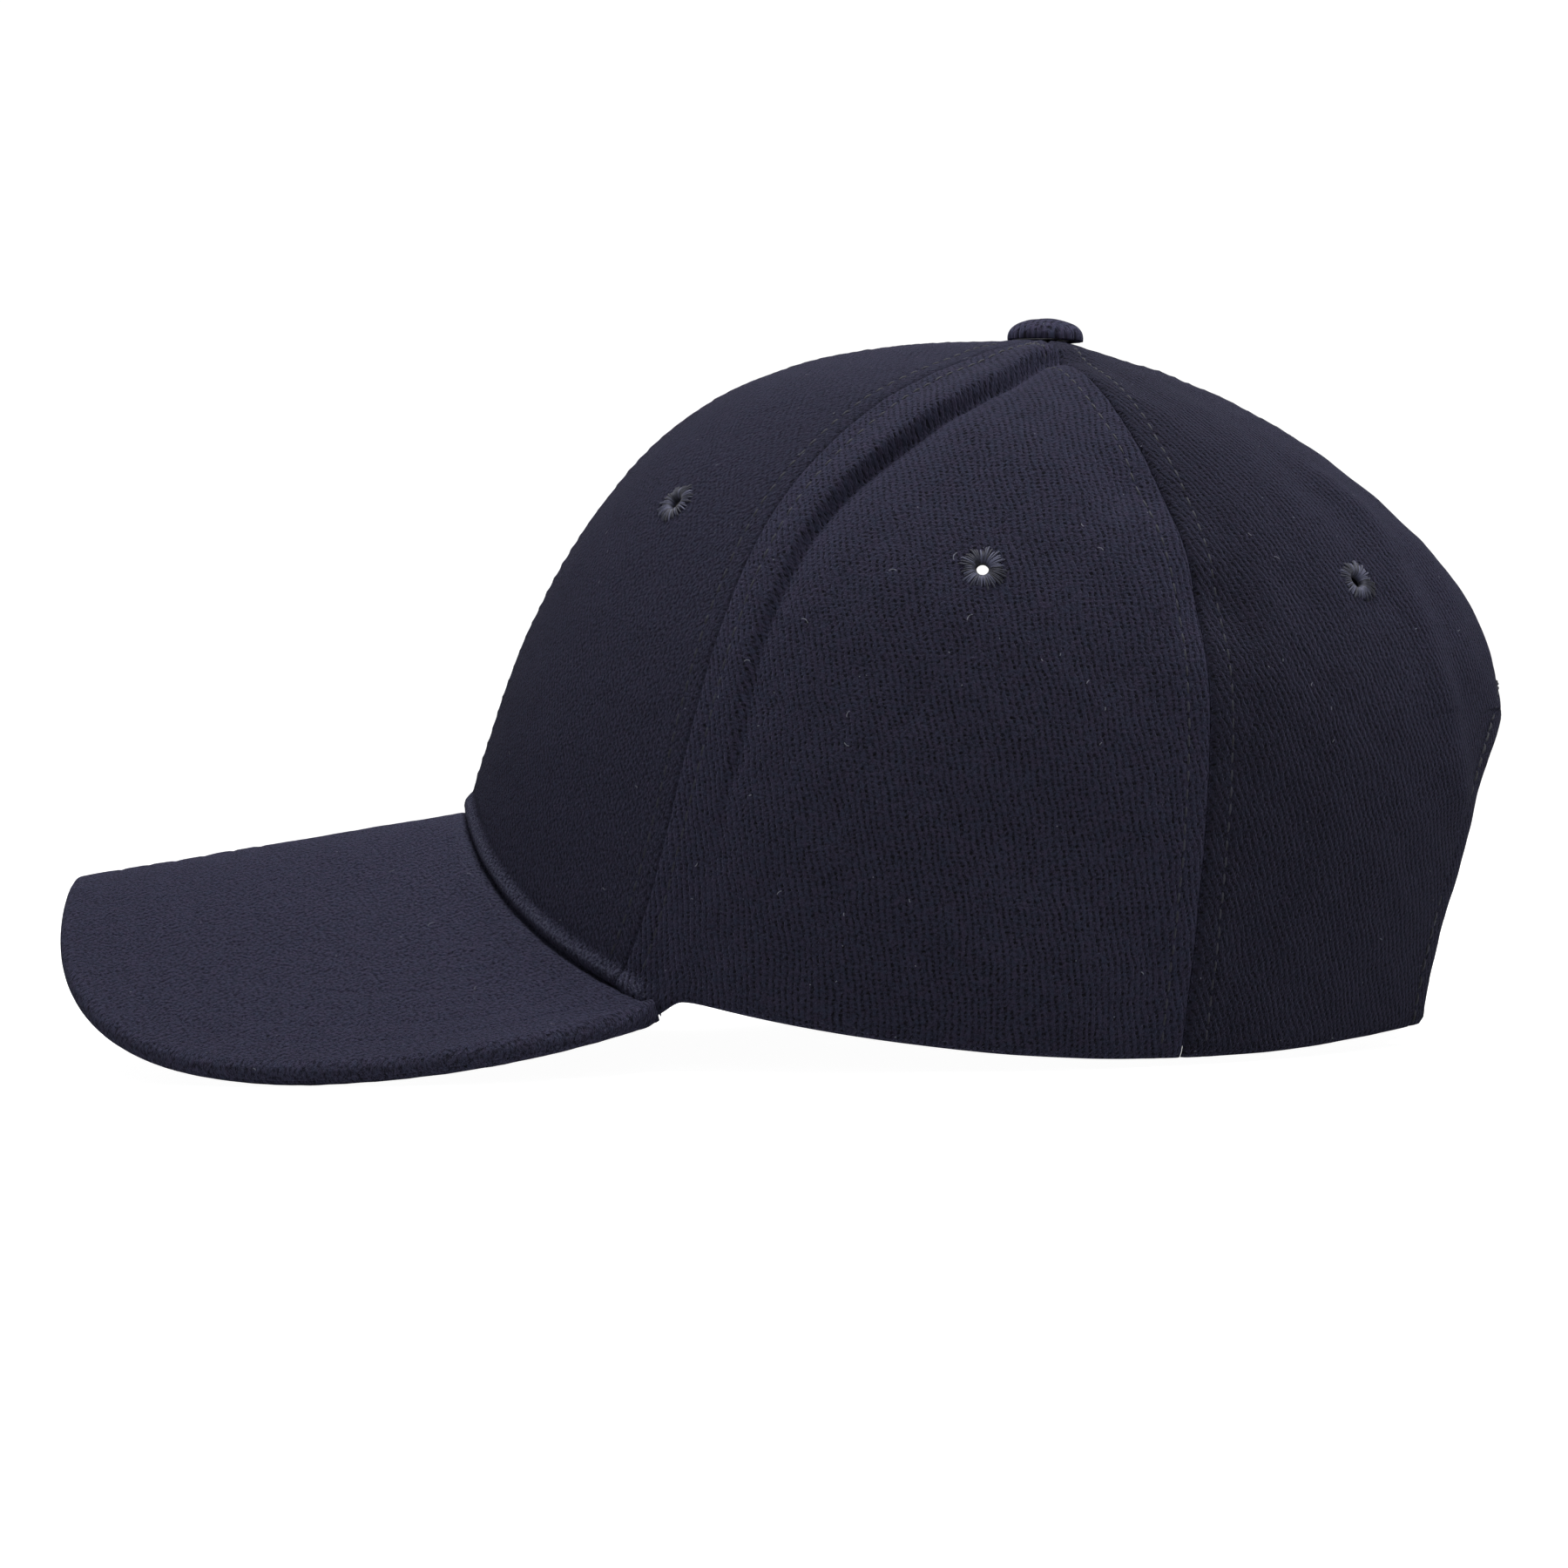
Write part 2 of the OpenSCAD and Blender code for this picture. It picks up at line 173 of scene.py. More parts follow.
archTop = max(s for s in np.arange(0.1, 0.9, 0.01)
              if crownPoint(180, s)[2] < hemZ(180.0) + crownForm["archHeight"])


def archEdge(s):
    # the angle of the back opening's edge
    rise = (crownPoint(168, s)[..., 2] - hemZ(168.0)) / (crownPoint(180, archTop)[2] - hemZ(180.0))
    half = crownForm["archSide"] * (1 - np.clip(rise, 0, 1) ** 2.6) ** 0.4545
    turn = np.degrees(np.arcsin(np.minimum(half / np.abs(crownPoint(90, s)[..., 1]), 0.9)))
    return np.where(s >= archTop, 180.0, 180 - turn)


# the brim, along its own middle surface
brimForm = {
    "x": -59.0,
    "reach": 82.6,
    "side": 82.0,
    "back": 34.7,
    "tuck": 14.5,
    "jointEnd": 53.5,
    "edgeRound": 22.0,
    "fold": 5.0,
    "bend": (0.548, 0.573, 0.648),  # how steeply it falls to the side: at the tip, the side and the ends
    "level": (46.2, 0.19, -63.5),  # height, slope, and the place along X where it is that high
    "halfBoard": 0.95,
    "halfThick": 1.75,
}


def brimEdge(w):
    f = brimForm
    w = np.asarray(w, float)
    tau = np.maximum((w - 90) / 28, 0)
    u = np.radians(np.minimum(w, 90))
    c, s = np.maximum(np.cos(u), 0), np.sin(u)
    x = np.where(w <= 90, f["x"] - f["reach"] * c**0.8, f["x"] + f["back"] * tau)
    y = np.where(w <= 90, f["side"] * s**0.8, f["side"] - f["tuck"] * tau**2.2)
    tip, flank, end = f["bend"]
    k = np.where(w <= 90, tip + (flank - tip) * (w / 90) ** 4, flank + (end - flank) * tau**1.6)
    drop = k * bow(y, f["fold"])
    rise = flank * bow(f["side"], f["fold"]) / bow(f["side"], f["edgeRound"])
    wide = np.sqrt((drop / rise + f["edgeRound"]) ** 2 - f["edgeRound"] ** 2)
    height, slope, levelX = f["level"]
    return np.stack([x, -np.where(w <= 90, wide, y), height + slope * (x - levelX) - drop], -1)


def brimJoint(t):
    x, y = hemPlan(t)
    r = 1 - 1 / np.hypot(x - crownForm["hemX"], y)
    z = crownForm["foreheadZ"] - archDrop(y * r) - brimForm["halfThick"] / math.cos(math.radians(29)) - 0.35
    return np.stack([crownForm["hemX"] + r * (x - crownForm["hemX"]), r * y, z], -1)


def brimMid(q, v):
    # q goes from the right end (-1) to the left end (1), v from the joint to the edge
    q, v = np.broadcast_arrays(np.asarray(q, float), np.asarray(v, float))
    a = np.abs(q)
    joint, edge = brimJoint(brimForm["jointEnd"] * a), brimEdge(90 * a + 28 * a**4)
    p = joint + (edge - joint) * v[..., None]
    return p * np.stack([np.ones_like(q), np.where(q < 0, -1.0, 1.0), np.ones_like(q)], -1)


def brimNormal(q, v):
    h, f = np.clip(q, -0.98, 0.98), np.clip(v, 0.02, 0.98)
    across = brimMid(h + 0.01, f) - brimMid(h - 0.01, f)
    outward = brimMid(h, f + 0.01) - brimMid(h, f - 0.01)
    return unit(np.cross(outward, across))


# the cap is tipped so that it stands on its brim and its hem
pitch = math.radians(crownForm["pitch"])
tipping = Matrix.Rotation(pitch, 4, "Y")


def tipped(p):
    x, y, z = np.moveaxis(np.asarray(p, float), -1, 0)
    c, s = math.cos(pitch), math.sin(pitch)
    return np.stack([x * c + z * s, y, z * c - x * s], -1)


rearX = tipped(crownPoint(180, np.arange(0.3, 0.8, 0.01)))[:, 0].max()
tipX = tipped(brimEdge(np.arange(0, 31, 2)))[:, 0].min() - 0.3
standZ = tipped(brimEdge(np.arange(60, 119, 2)))[:, 2].min() - 0.52
seat = np.array([-(rearX + tipX) / 2, 0, -standZ])


def placed(p):
    return (tipped(p) + seat) * mm


def turned(n):
    return tipped(n)


seatMatrix = Matrix.Translation(Vector(seat * mm)) @ tipping
print("forms ready, seat", np.round(seat, 3))


def newPiece(name, points, faces, uvs=None, wearAndHighlight=None):
    mesh = bpy.data.meshes.new(name)
    mesh.from_pydata(points.tolist(), [], faces)
    piece = bpy.data.objects.new(name, mesh)
    bpy.context.scene.collection.objects.link(piece)
    if uvs is not None:
        layer = mesh.uv_layers.new(name="weave")
        corner = np.zeros(len(mesh.loops), np.int32)
        mesh.loops.foreach_get("vertex_index", corner)
        layer.data.foreach_set("uv", uvs[corner].astype(np.float32).ravel())
    if wearAndHighlight is not None:
        # a per-vertex mask for pale flecks from rubbing, which also carries painted highlights
        wearAndHighlightLayer = mesh.attributes.new("wearAndHighlight", "FLOAT", "POINT")
        wearAndHighlightLayer.data.foreach_set("value", np.ravel(wearAndHighlight).astype(np.float32))
    mesh.shade_smooth()
    return piece


def gridFaces(rows, cols, flip=False, wrap=False):
    quads = []
    for i in range(rows - 1):
        for j in range(cols if wrap else cols - 1):
            k = (j + 1) % cols
            quad = (i * cols + j, i * cols + k, (i + 1) * cols + k, (i + 1) * cols + j)
            quads.append(quad[::-1] if flip else quad)
    return quads


def finishPiece(piece, body, material, stands=()):
    piece.data.materials.clear()
    piece.data.materials.append(material)
    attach(piece, body)
    if stands:
        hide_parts(*stands)


def thicken(piece, thickness, offset=-1, thin=None):
    wall = piece.modifiers.new("wall", "SOLIDIFY")
    if thin:
        wall.vertex_group = thin
        wall.invert_vertex_group = True
    wall.thickness = thickness * mm
    wall.offset = offset
    wall.use_even_offset = False
    applyModifiers(piece)


def applyModifiers(piece):
    bpy.ops.object.select_all(action="DESELECT")
    bpy.context.view_layer.objects.active = piece
    piece.select_set(True)
    for modifier in list(piece.modifiers):
        bpy.ops.object.modifier_apply(modifier=modifier.name)
    piece.select_set(False)


def gridArea(points):
    # area of an undisturbed grid, in square metres
    a = points[1:, 1:] - points[:-1, :-1]
    b = points[1:, :-1] - points[:-1, 1:]
    return float(np.linalg.norm(np.cross(a, b), axis=-1).sum() / 2) * mm * mm


def newGroup(name, inputs, outputs):
    group = bpy.data.node_groups.new(name, "ShaderNodeTree")
    for label, kind, value in inputs:
        socket = group.interface.new_socket(label, in_out="INPUT", socket_type=kind)
        if value is not None:
            socket.default_value = value
    for label, kind in outputs:
        group.interface.new_socket(label, in_out="OUTPUT", socket_type=kind)
    return group, group.nodes.new("NodeGroupInput"), group.nodes.new("NodeGroupOutput")


def feed(tree, node, key, value):
    if isinstance(value, bpy.types.NodeSocket):
        tree.links.new(value, node.inputs[key])
    elif value is not None:
        node.inputs[key].default_value = value


def mathNode(tree, operation, a, b=None, c=None, clamp=False):
    node = tree.nodes.new("ShaderNodeMath")
    node.operation = operation
    node.use_clamp = clamp
    for key, value in enumerate((a, b, c)):
        feed(tree, node, key, value)
    return node.outputs[0]


def vectorNode(tree, operation, a, b=None, scale=None):
    node = tree.nodes.new("ShaderNodeVectorMath")
    node.operation = operation
    feed(tree, node, 0, a)
    feed(tree, node, 1, b)
    if scale is not None:
        feed(tree, node, "Scale", scale)
    return node.outputs["Value" if operation in ("LENGTH", "DISTANCE", "DOT_PRODUCT") else "Vector"]


def noiseNode(tree, vector, scale, detail=2.0, roughness=0.5):
    node = tree.nodes.new("ShaderNodeTexNoise")
    feed(tree, node, "Vector", vector)
    node.inputs["Scale"].default_value = scale
    node.inputs["Detail"].default_value = detail
    node.inputs["Roughness"].default_value = roughness
    return node.outputs["Fac"], node.outputs["Color"]


def ramp(tree, value, low, high, outLow=0.0, outHigh=1.0):
    node = tree.nodes.new("ShaderNodeMapRange")
    node.interpolation_type = "SMOOTHSTEP"
    feed(tree, node, "Value", value)
    node.inputs["From Min"].default_value = low
    node.inputs["From Max"].default_value = high
    node.inputs["To Min"].default_value = outLow
    node.inputs["To Max"].default_value = outHigh
    return node.outputs["Result"]


def wave(tree, value):
    # 0 to 1 and back once for each whole step of the value
    turns = mathNode(tree, "MULTIPLY", value, 2 * math.pi)
    return mathNode(tree, "MULTIPLY_ADD", mathNode(tree, "COSINE", turns), 0.5, 0.5)


def mixColour(tree, factor, a, b):
    node = tree.nodes.new("ShaderNodeMix")
    node.data_type = "RGBA"
    feed(tree, node, 0, factor)
    feed(tree, node, 6, a)
    feed(tree, node, 7, b)
    return node.outputs[2]


def buildTwill():
    # ribs along Y of the vector, which is in millimetres, with a chain of small pits between neighbours
    group, start, end = newGroup(
        "twillWeave",
        [("Vector", "NodeSocketVector", None), ("Pitch", "NodeSocketFloat", 1.2),
         ("Brushed", "NodeSocketFloat", 0.3)],
        [("Height", "NodeSocketFloat"), ("Tone", "NodeSocketFloat"), ("Hue", "NodeSocketFloat")])
    vector = start.outputs["Vector"]
    _, drift = noiseNode(group, vector, 0.07, 3.0)
    shifted = vectorNode(group, "SUBTRACT", drift, (0.5, 0.5, 0.5))
    bent = vectorNode(group, "ADD", vector, vectorNode(group, "SCALE", shifted, scale=3.2))
    _, tremble = noiseNode(group, vector, 0.8, 2.0)
    trembled = vectorNode(group, "SUBTRACT", tremble, (0.5, 0.5, 0.5))
    bent = vectorNode(group, "ADD", bent, vectorNode(group, "SCALE", trembled, scale=0.9))
    parts = group.nodes.new("ShaderNodeSeparateXYZ")
    feed(group, parts, 0, bent)
    across = mathNode(group, "DIVIDE", parts.outputs[0], start.outputs["Pitch"])
    index = mathNode(group, "FLOOR", across)
    pitLength = mathNode(group, "MULTIPLY", start.outputs["Pitch"], 0.74)
    along = mathNode(group, "DIVIDE", parts.outputs[1], pitLength)
    along = mathNode(group, "ADD", along, mathNode(group, "MULTIPLY", index, 0.43))
    cell = group.nodes.new("ShaderNodeCombineXYZ")
    feed(group, cell, 0, index)
    feed(group, cell, 1, mathNode(group, "FLOOR", mathNode(group, "ADD", along, 0.5)))
    pitRandom = group.nodes.new("ShaderNodeTexWhiteNoise")
    pitRandom.noise_dimensions = "2D"
    feed(group, pitRandom, "Vector", cell.outputs[0])
    gap = ramp(group, wave(group, across), 0.1, 0.75, 1.0, 0.0)
    pit = ramp(group, wave(group, along), 0.1, 0.7, 0.4, 1.0)
    deep = mathNode(group, "MULTIPLY_ADD", pitRandom.outputs["Value"], 0.6, 0.5)
    hole = mathNode(group, "MULTIPLY", mathNode(group, "MULTIPLY", gap, pit), deep)
    grain, _ = noiseNode(group, vector, 1.5, 3.0, 0.65)
    fine, _ = noiseNode(group, vector, 4.2, 2.0, 0.6)
    cloud, _ = noiseNode(group, vector, 0.22, 3.0, 0.6)
    grainShift = mathNode(group, "SUBTRACT", grain, 0.5)
    fineShift = mathNode(group, "SUBTRACT", fine, 0.5)
    soft = mathNode(group, "MULTIPLY_ADD", grainShift, 3.8, 0.6)
    height = group.nodes.new("ShaderNodeMix")
    feed(group, height, 0, start.outputs["Brushed"])
    feed(group, height, 2, mathNode(group, "SUBTRACT", 0.95, hole))
    feed(group, height, 3, soft)
    rough = mathNode(group, "MULTIPLY_ADD", fineShift, 0.7, height.outputs[0])
    rough = mathNode(group, "MULTIPLY_ADD", grainShift, 0.7, rough)
    tone = mathNode(group, "MULTIPLY_ADD", fineShift, 0.9, rough)
    tone = mathNode(group, "MULTIPLY_ADD", grainShift, 0.9, tone)
    tone = mathNode(group, "MULTIPLY_ADD", mathNode(group, "SUBTRACT", cloud, 0.5), 0.5, tone, clamp=True)
    hue, _ = noiseNode(group, vectorNode(group, "ADD", vector, (31.0, 17.0, 5.0)), 0.7, 4.0, 0.75)
    feed(group, end, "Height", rough)
    feed(group, end, "Tone", tone)
    feed(group, end, "Hue", ramp(group, hue, 0.3, 0.7))
    return group


def buildLint():
    # short pale fibres and specks caught on the cloth, vector in millimetres
    group, start, end = newGroup(
        "lintFibres",
        [("Vector", "NodeSocketVector", None), ("Amount", "NodeSocketFloat", 0.4)],
        [("Mask", "NodeSocketFloat")])
    cells = vectorNode(group, "SCALE", start.outputs["Vector"], scale=0.16)
    spots = group.nodes.new("ShaderNodeTexVoronoi")
    spots.inputs["Scale"].default_value = 1.0
    spots.inputs["Randomness"].default_value = 0.9
    feed(group, spots, "Vector", cells)
    local = vectorNode(group, "SUBTRACT", cells, spots.outputs["Position"])
    random = group.nodes.new("ShaderNodeSeparateColor")
    feed(group, random, 0, spots.outputs["Color"])
    turn = group.nodes.new("ShaderNodeVectorRotate")
    turn.rotation_type = "Z_AXIS"
    feed(group, turn, "Vector", local)
    feed(group, turn, "Angle", mathNode(group, "MULTIPLY", random.outputs[0], 2 * math.pi))
    parts = group.nodes.new("ShaderNodeSeparateXYZ")
    feed(group, parts, 0, turn.outputs[0])
    curl = mathNode(group, "MULTIPLY", mathNode(group, "MULTIPLY", parts.outputs[0], parts.outputs[0]), 3.5)
    off = mathNode(group, "ABSOLUTE", mathNode(group, "SUBTRACT", parts.outputs[1], curl))
    thin = ramp(group, off, 0.004, 0.02, 1.0, 0.0)
    reach = mathNode(group, "MULTIPLY_ADD", mathNode(group, "POWER", random.outputs[2], 3.0), 0.13, 0.015)
    short = mathNode(group, "LESS_THAN", mathNode(group, "ABSOLUTE", parts.outputs[0]), reach)
    chosen = mathNode(group, "LESS_THAN", random.outputs[1], start.outputs["Amount"])
    mask = mathNode(group, "MULTIPLY", mathNode(group, "MULTIPLY", thin, short), chosen, clamp=True)
    feed(group, end, "Mask", mask)
    return group


twillGroup = buildTwill()
lintGroup = buildLint()


def placeGroup(tree, group, values):
    node = tree.nodes.new("ShaderNodeGroup")
    node.node_tree = group
    for key, value in values.items():
        feed(tree, node, key, value)
    return node


def newMaterial(name, settings):
    material = bpy.data.materials.new(name)
    material.use_nodes = True
    shader = material.node_tree.nodes["Principled BSDF"]
    for label, value in settings.items():
        shader.inputs[label].default_value = value
    return material, material.node_tree, shader


def bumpInto(tree, shader, height, strength, distance):
    bump = tree.nodes.new("ShaderNodeBump")
    bump.inputs["Strength"].default_value = strength
    bump.inputs["Distance"].default_value = distance * mm
    feed(tree, bump, "Height", height)
    feed(tree, shader, "Normal", bump.outputs[0])


def uvMillimetres(tree, degrees):
    uv = tree.nodes.new("ShaderNodeUVMap")
    uv.uv_map = "weave"
    mapping = tree.nodes.new("ShaderNodeMapping")
    mapping.inputs["Rotation"].default_value = (0, 0, math.radians(degrees))
    feed(tree, mapping, "Vector", uv.outputs[0])
    return mapping.outputs[0]


def objectMillimetres(tree):
    place = tree.nodes.new("ShaderNodeTexCoord")
    return vectorNode(tree, "SCALE", place.outputs["Object"], scale=1000.0)


navy = {
    "gap": (0.0030, 0.0029, 0.0050, 1),
    "warm": (0.037, 0.0310, 0.058, 1),
    "cool": (0.027, 0.0315, 0.057, 1),
    "fleck": (0.095, 0.100, 0.150, 1),
    "lint": (0.34, 0.36, 0.42, 1),
}


def twillMaterial(name, degrees, pitch=1.3, brushed=0.3, paintedLightTint=1.0, lint=0.12, bump=0.8):
    material, tree, shader = newMaterial(name, {
        "Roughness": 0.95, "Specular IOR Level": 0.12, "Sheen Weight": 0.16, "Sheen Roughness": 0.35,
        "Sheen Tint": (0.58, 0.58, 1.0, 1)})
    vector = uvMillimetres(tree, degrees)
    weave = placeGroup(tree, twillGroup, {"Vector": vector, "Pitch": pitch, "Brushed": brushed})
    # the whole navy is scaled for this piece: lit and shaded copies of one cloth, painted light and shade
    warm, cool, gap = [tuple(v * paintedLightTint for v in navy[key][:3]) + (1,) for key in ("warm", "cool", "gap")]
    yarn = mixColour(tree, weave.outputs["Hue"], warm, cool)
    # the gap colour darkens the weave's grooves and pits: partly the yarn's own darker gaps, partly painted
    # shade in these hollows
    colour = mixColour(tree, weave.outputs["Tone"], gap, yarn)
    # pale flecks, thick where the cloth is worn at folds and edges, and where the mask carries a painted
    # highlight
    wearAndHighlight = tree.nodes.new("ShaderNodeAttribute")
    wearAndHighlight.attribute_name = "wearAndHighlight"
    speck, _ = noiseNode(tree, vector, 1.9, 3.0, 0.7)
    chosen = mathNode(tree, "MULTIPLY_ADD", wearAndHighlight.outputs["Fac"], 0.2, speck)
    colour = mixColour(tree, ramp(tree, chosen, 0.6, 0.78, 0.0, 0.8), colour, navy["fleck"])
    fibres = placeGroup(tree, lintGroup, {"Vector": vector, "Amount": lint})
    mask = mathNode(tree, "MULTIPLY", fibres.outputs["Mask"], 0.6)
    colour = mixColour(tree, mask, colour, navy["lint"])
    feed(tree, shader, "Base Color", colour)
    bumpInto(tree, shader, weave.outputs["Height"], bump, 0.4)
    return material


def threadMaterial(name, colour):
    material, tree, shader = newMaterial(name, {
        "Roughness": 0.6, "Specular IOR Level": 0.35, "Sheen Weight": 0.15, "Sheen Roughness": 0.5})
    place = objectMillimetres(tree)
    speckle, _ = noiseNode(tree, place, 1.4, 3.0, 0.6)
    dark = tuple(v * 0.35 for v in colour) + (1,)
    # a painted highlight: strands picked by the mask get a colour 2.4 times brighter
    highlightColour = tuple(v * 2.4 for v in colour) + (1,)
    wearAndHighlight = tree.nodes.new("ShaderNodeAttribute")
    wearAndHighlight.attribute_name = "wearAndHighlight"
    tone = mixColour(tree, ramp(tree, speckle, 0.3, 0.7), dark, colour + (1,))
    shine = ramp(tree, wearAndHighlight.outputs["Fac"], 0.45, 1.0)
    feed(tree, shader, "Base Color", mixColour(tree, shine, tone, highlightColour))
    bumpInto(tree, shader, speckle, 0.5, 0.15)
    return material


def tapeMaterial(name, low, high, pitch):
    # a woven tape or stiff lining: plain weave of crossing threads
    material, tree, shader = newMaterial(name, {"Roughness": 0.85, "Specular IOR Level": 0.3})
    parts = tree.nodes.new("ShaderNodeSeparateXYZ")
    vector = uvMillimetres(tree, 0)
    feed(tree, parts, 0, vector)
    over = wave(tree, mathNode(tree, "DIVIDE", parts.outputs[0], pitch))
    under = wave(tree, mathNode(tree, "DIVIDE", parts.outputs[1], pitch * 0.8))
    height = mathNode(tree, "MULTIPLY_ADD", over, 0.5, mathNode(tree, "MULTIPLY", under, 0.5))
    fuzz, _ = noiseNode(tree, vector, 2.2, 3.0, 0.6)
    tone = mathNode(tree, "MULTIPLY_ADD", mathNode(tree, "SUBTRACT", fuzz, 0.5), 0.8, height, clamp=True)
    feed(tree, shader, "Base Color", mixColour(tree, tone, low, high))
    bumpInto(tree, shader, height, 0.7, 0.25)
    return material


def metalMaterial(name, colour, dull):
    material, tree, shader = newMaterial(name, {"Metallic": 1.0, "Specular IOR Level": 0.5})
    place = objectMillimetres(tree)
    scratches, _ = noiseNode(tree, vectorNode(tree, "MULTIPLY", place, (4.0, 4.0, 0.4)), 1.0, 4.0, 0.6)
    patches, _ = noiseNode(tree, place, 0.35, 4.0, 0.65)
    worn = mixColour(tree, ramp(tree, patches, 0.35, 0.7), dull + (1,), colour + (1,))
    feed(tree, shader, "Base Color", worn)
    rough = mathNode(tree, "MULTIPLY_ADD", scratches, 0.3, 0.22)
    feed(tree, shader, "Roughness", rough)
    bumpInto(tree, shader, scratches, 0.15, 0.05)
    return material


def boardMaterial():
    material, tree, shader = newMaterial("boardPlastic", {"Roughness": 0.55, "Specular IOR Level": 0.4})
    place = objectMillimetres(tree)
    cloud, _ = noiseNode(tree, place, 0.12, 4.0, 0.6)
    grit, _ = noiseNode(tree, place, 2.5, 2.0, 0.5)
    feed(tree, shader, "Base Color", mixColour(tree, cloud, (0.62, 0.60, 0.54, 1), (0.80, 0.79, 0.74, 1)))
    bumpInto(tree, shader, grit, 0.2, 0.1)
    return material


# all pieces share one navy twill; the scale each one gets below is painted light and shade, the back panels
# darker, the brim, under cover and button lighter
frontTwill = twillMaterial("frontTwill", -45, pitch=1.1, brushed=0.6, paintedLightTint=0.93, bump=1.4)
sideTwill = twillMaterial("sideTwill", -18, pitch=1.22, brushed=0.25, paintedLightTint=1.06, bump=1.1)
backTwill = twillMaterial("backTwill", -22, pitch=1.22, brushed=0.28, paintedLightTint=0.6, bump=1.1)
brimTwill = twillMaterial("brimTwill", 24, pitch=1.4, brushed=0.75, paintedLightTint=1.65, bump=1.6)
underTwill = twillMaterial("underTwill", 24, pitch=1.4, brushed=0.7, paintedLightTint=1.3, bump=1.2)
buttonTwill = twillMaterial("buttonTwill", 20, brushed=0.25, paintedLightTint=1.45)
bandTwill = twillMaterial("bandTwill", 35, pitch=0.9, brushed=0.2, paintedLightTint=0.9, lint=0.1)
strapTwill = twillMaterial("strapTwill", 60, pitch=1.0, brushed=0.3)
navyThread = threadMaterial("navyThread", (0.030, 0.031, 0.050))
eyeletThread = threadMaterial("eyeletThread", (0.038, 0.040, 0.066))
navyTape = tapeMaterial("navyTape", (0.008, 0.008, 0.015, 1), (0.035, 0.035, 0.062, 1), 0.9)
paleBuckram = tapeMaterial("paleBuckram", (0.36, 0.35, 0.32, 1), (0.74, 0.73, 0.69, 1), 0.8)
brass = metalMaterial("agedBrass", (0.72, 0.52, 0.24), (0.42, 0.30, 0.15))
steel = metalMaterial("plainSteel", (0.62, 0.63, 0.65), (0.42, 0.42, 0.44))
boardPlastic = boardMaterial()
print("materials ready")


# how far the crown's cloth stands out of or sinks below the plain form
reliefForm = {
    # per seam: (topstitch distance, dip, width of the dip, height of the allowance under the cloth)
    "seams": {"centreFront": (3.6, 0.4, 0.5, 0.1), "frontSide": (3.6, 0.14, 0.4, 0.12),
              "sideBack": (4.4, 0.55, 0.5, 0.16), "centreBack": (4.4, 0.5, 0.5, 0.14)},
    "clothThick": 1.0,
    "hemDip": 2.2,
    "unevenness": [(46, 0.6), (17, 0.24), (6, 0.05)],  # (size, height) of the soft humps
    # a crease in each side panel, behind the stiff lining's edge, as (t, s) from the button down
    "crease": [(110, 0.915), (95.9, 0.848), (87.9, 0.784), (81.6, 0.725), (76.3, 0.667), (71.3, 0.597),
               (68.1, 0.53), (66.3, 0.469), (64.5, 0.394), (63.6, 0.332), (63, 0.26), (61.4, 0.19),
               (60.2, 0.13)],
    "creaseDeep": 3.0,
    "creaseProud": 1.3,
    # soft dents beside the seam between side and back, as (t, s, depth, width)
    "dents": [(110, 0.589, 1.9, 7.5), (118, 0.442, 2.2, 8.5), (97, 0.2, 1.1, 14)],
    "ridgeHigh": 1.3,
    "ridge": [(148.4, 0.63), (150.8, 0.576), (149.4, 0.48), (150.3, 0.4), (151.6, 0.293), (153, 0.24)],
}
fineS = np.linspace(0, 0.995, 420)
seamLines = {
    "centreFront": crownPoint(np.zeros_like(fineS), fineS),
    "frontSide": crownPoint(seamFront(fineS), fineS),
    "sideBack": crownPoint(seamBack(fineS), fineS),
    "centreBack": crownPoint(np.full_like(fineS, 180.0), fineS)[fineS > archTop],
}
hemLine = crownPoint(np.linspace(0, 180, 900), 0)
archPeak = fineS[archEdge(fineS) < 180].max()
archLineS = archPeak * np.sin(np.linspace(0, 1, 160) * math.pi / 2) ** 0.8
archLine = crownPoint(archEdge(archLineS), archLineS)
creaseTS = spline(reliefForm["crease"], 240)
creaseLine = crownPoint(creaseTS[:, 0], creaseTS[:, 1])
ridgeTS = spline(reliefForm["ridge"], 90)
ridgeLine = crownPoint(ridgeTS[:, 0], ridgeTS[:, 1])
eyelets = {
    "front_left": (0, 40.4, 0.502), "front_right": (1, 40.4, 0.502),
    "side_left": (0, 90.5, 0.481), "side_right": (1, 94.3, 0.506),
    "back_left": (0, 140.3, 0.489), "back_right": (1, 140.3, 0.489),
}


def seamRelief(p, name, seed):
    stitchOff, dip, wide, allowance = reliefForm["seams"][name]
    away, along = nearest(p, seamLines[name])
    pucker = np.sin(2 * math.pi * along / 3.3 + 1.5 * wobble(p, 15, seed))
    value = -dip * bell(away, wide) + allowance * (smooth(away / 1.2) - smooth((away - stitchOff - 1) / 3))
    value = value - 0.16 * bell(away - stitchOff, 0.45)
    return value + 0.06 * pucker * bell(away - stitchOff, 2.0)


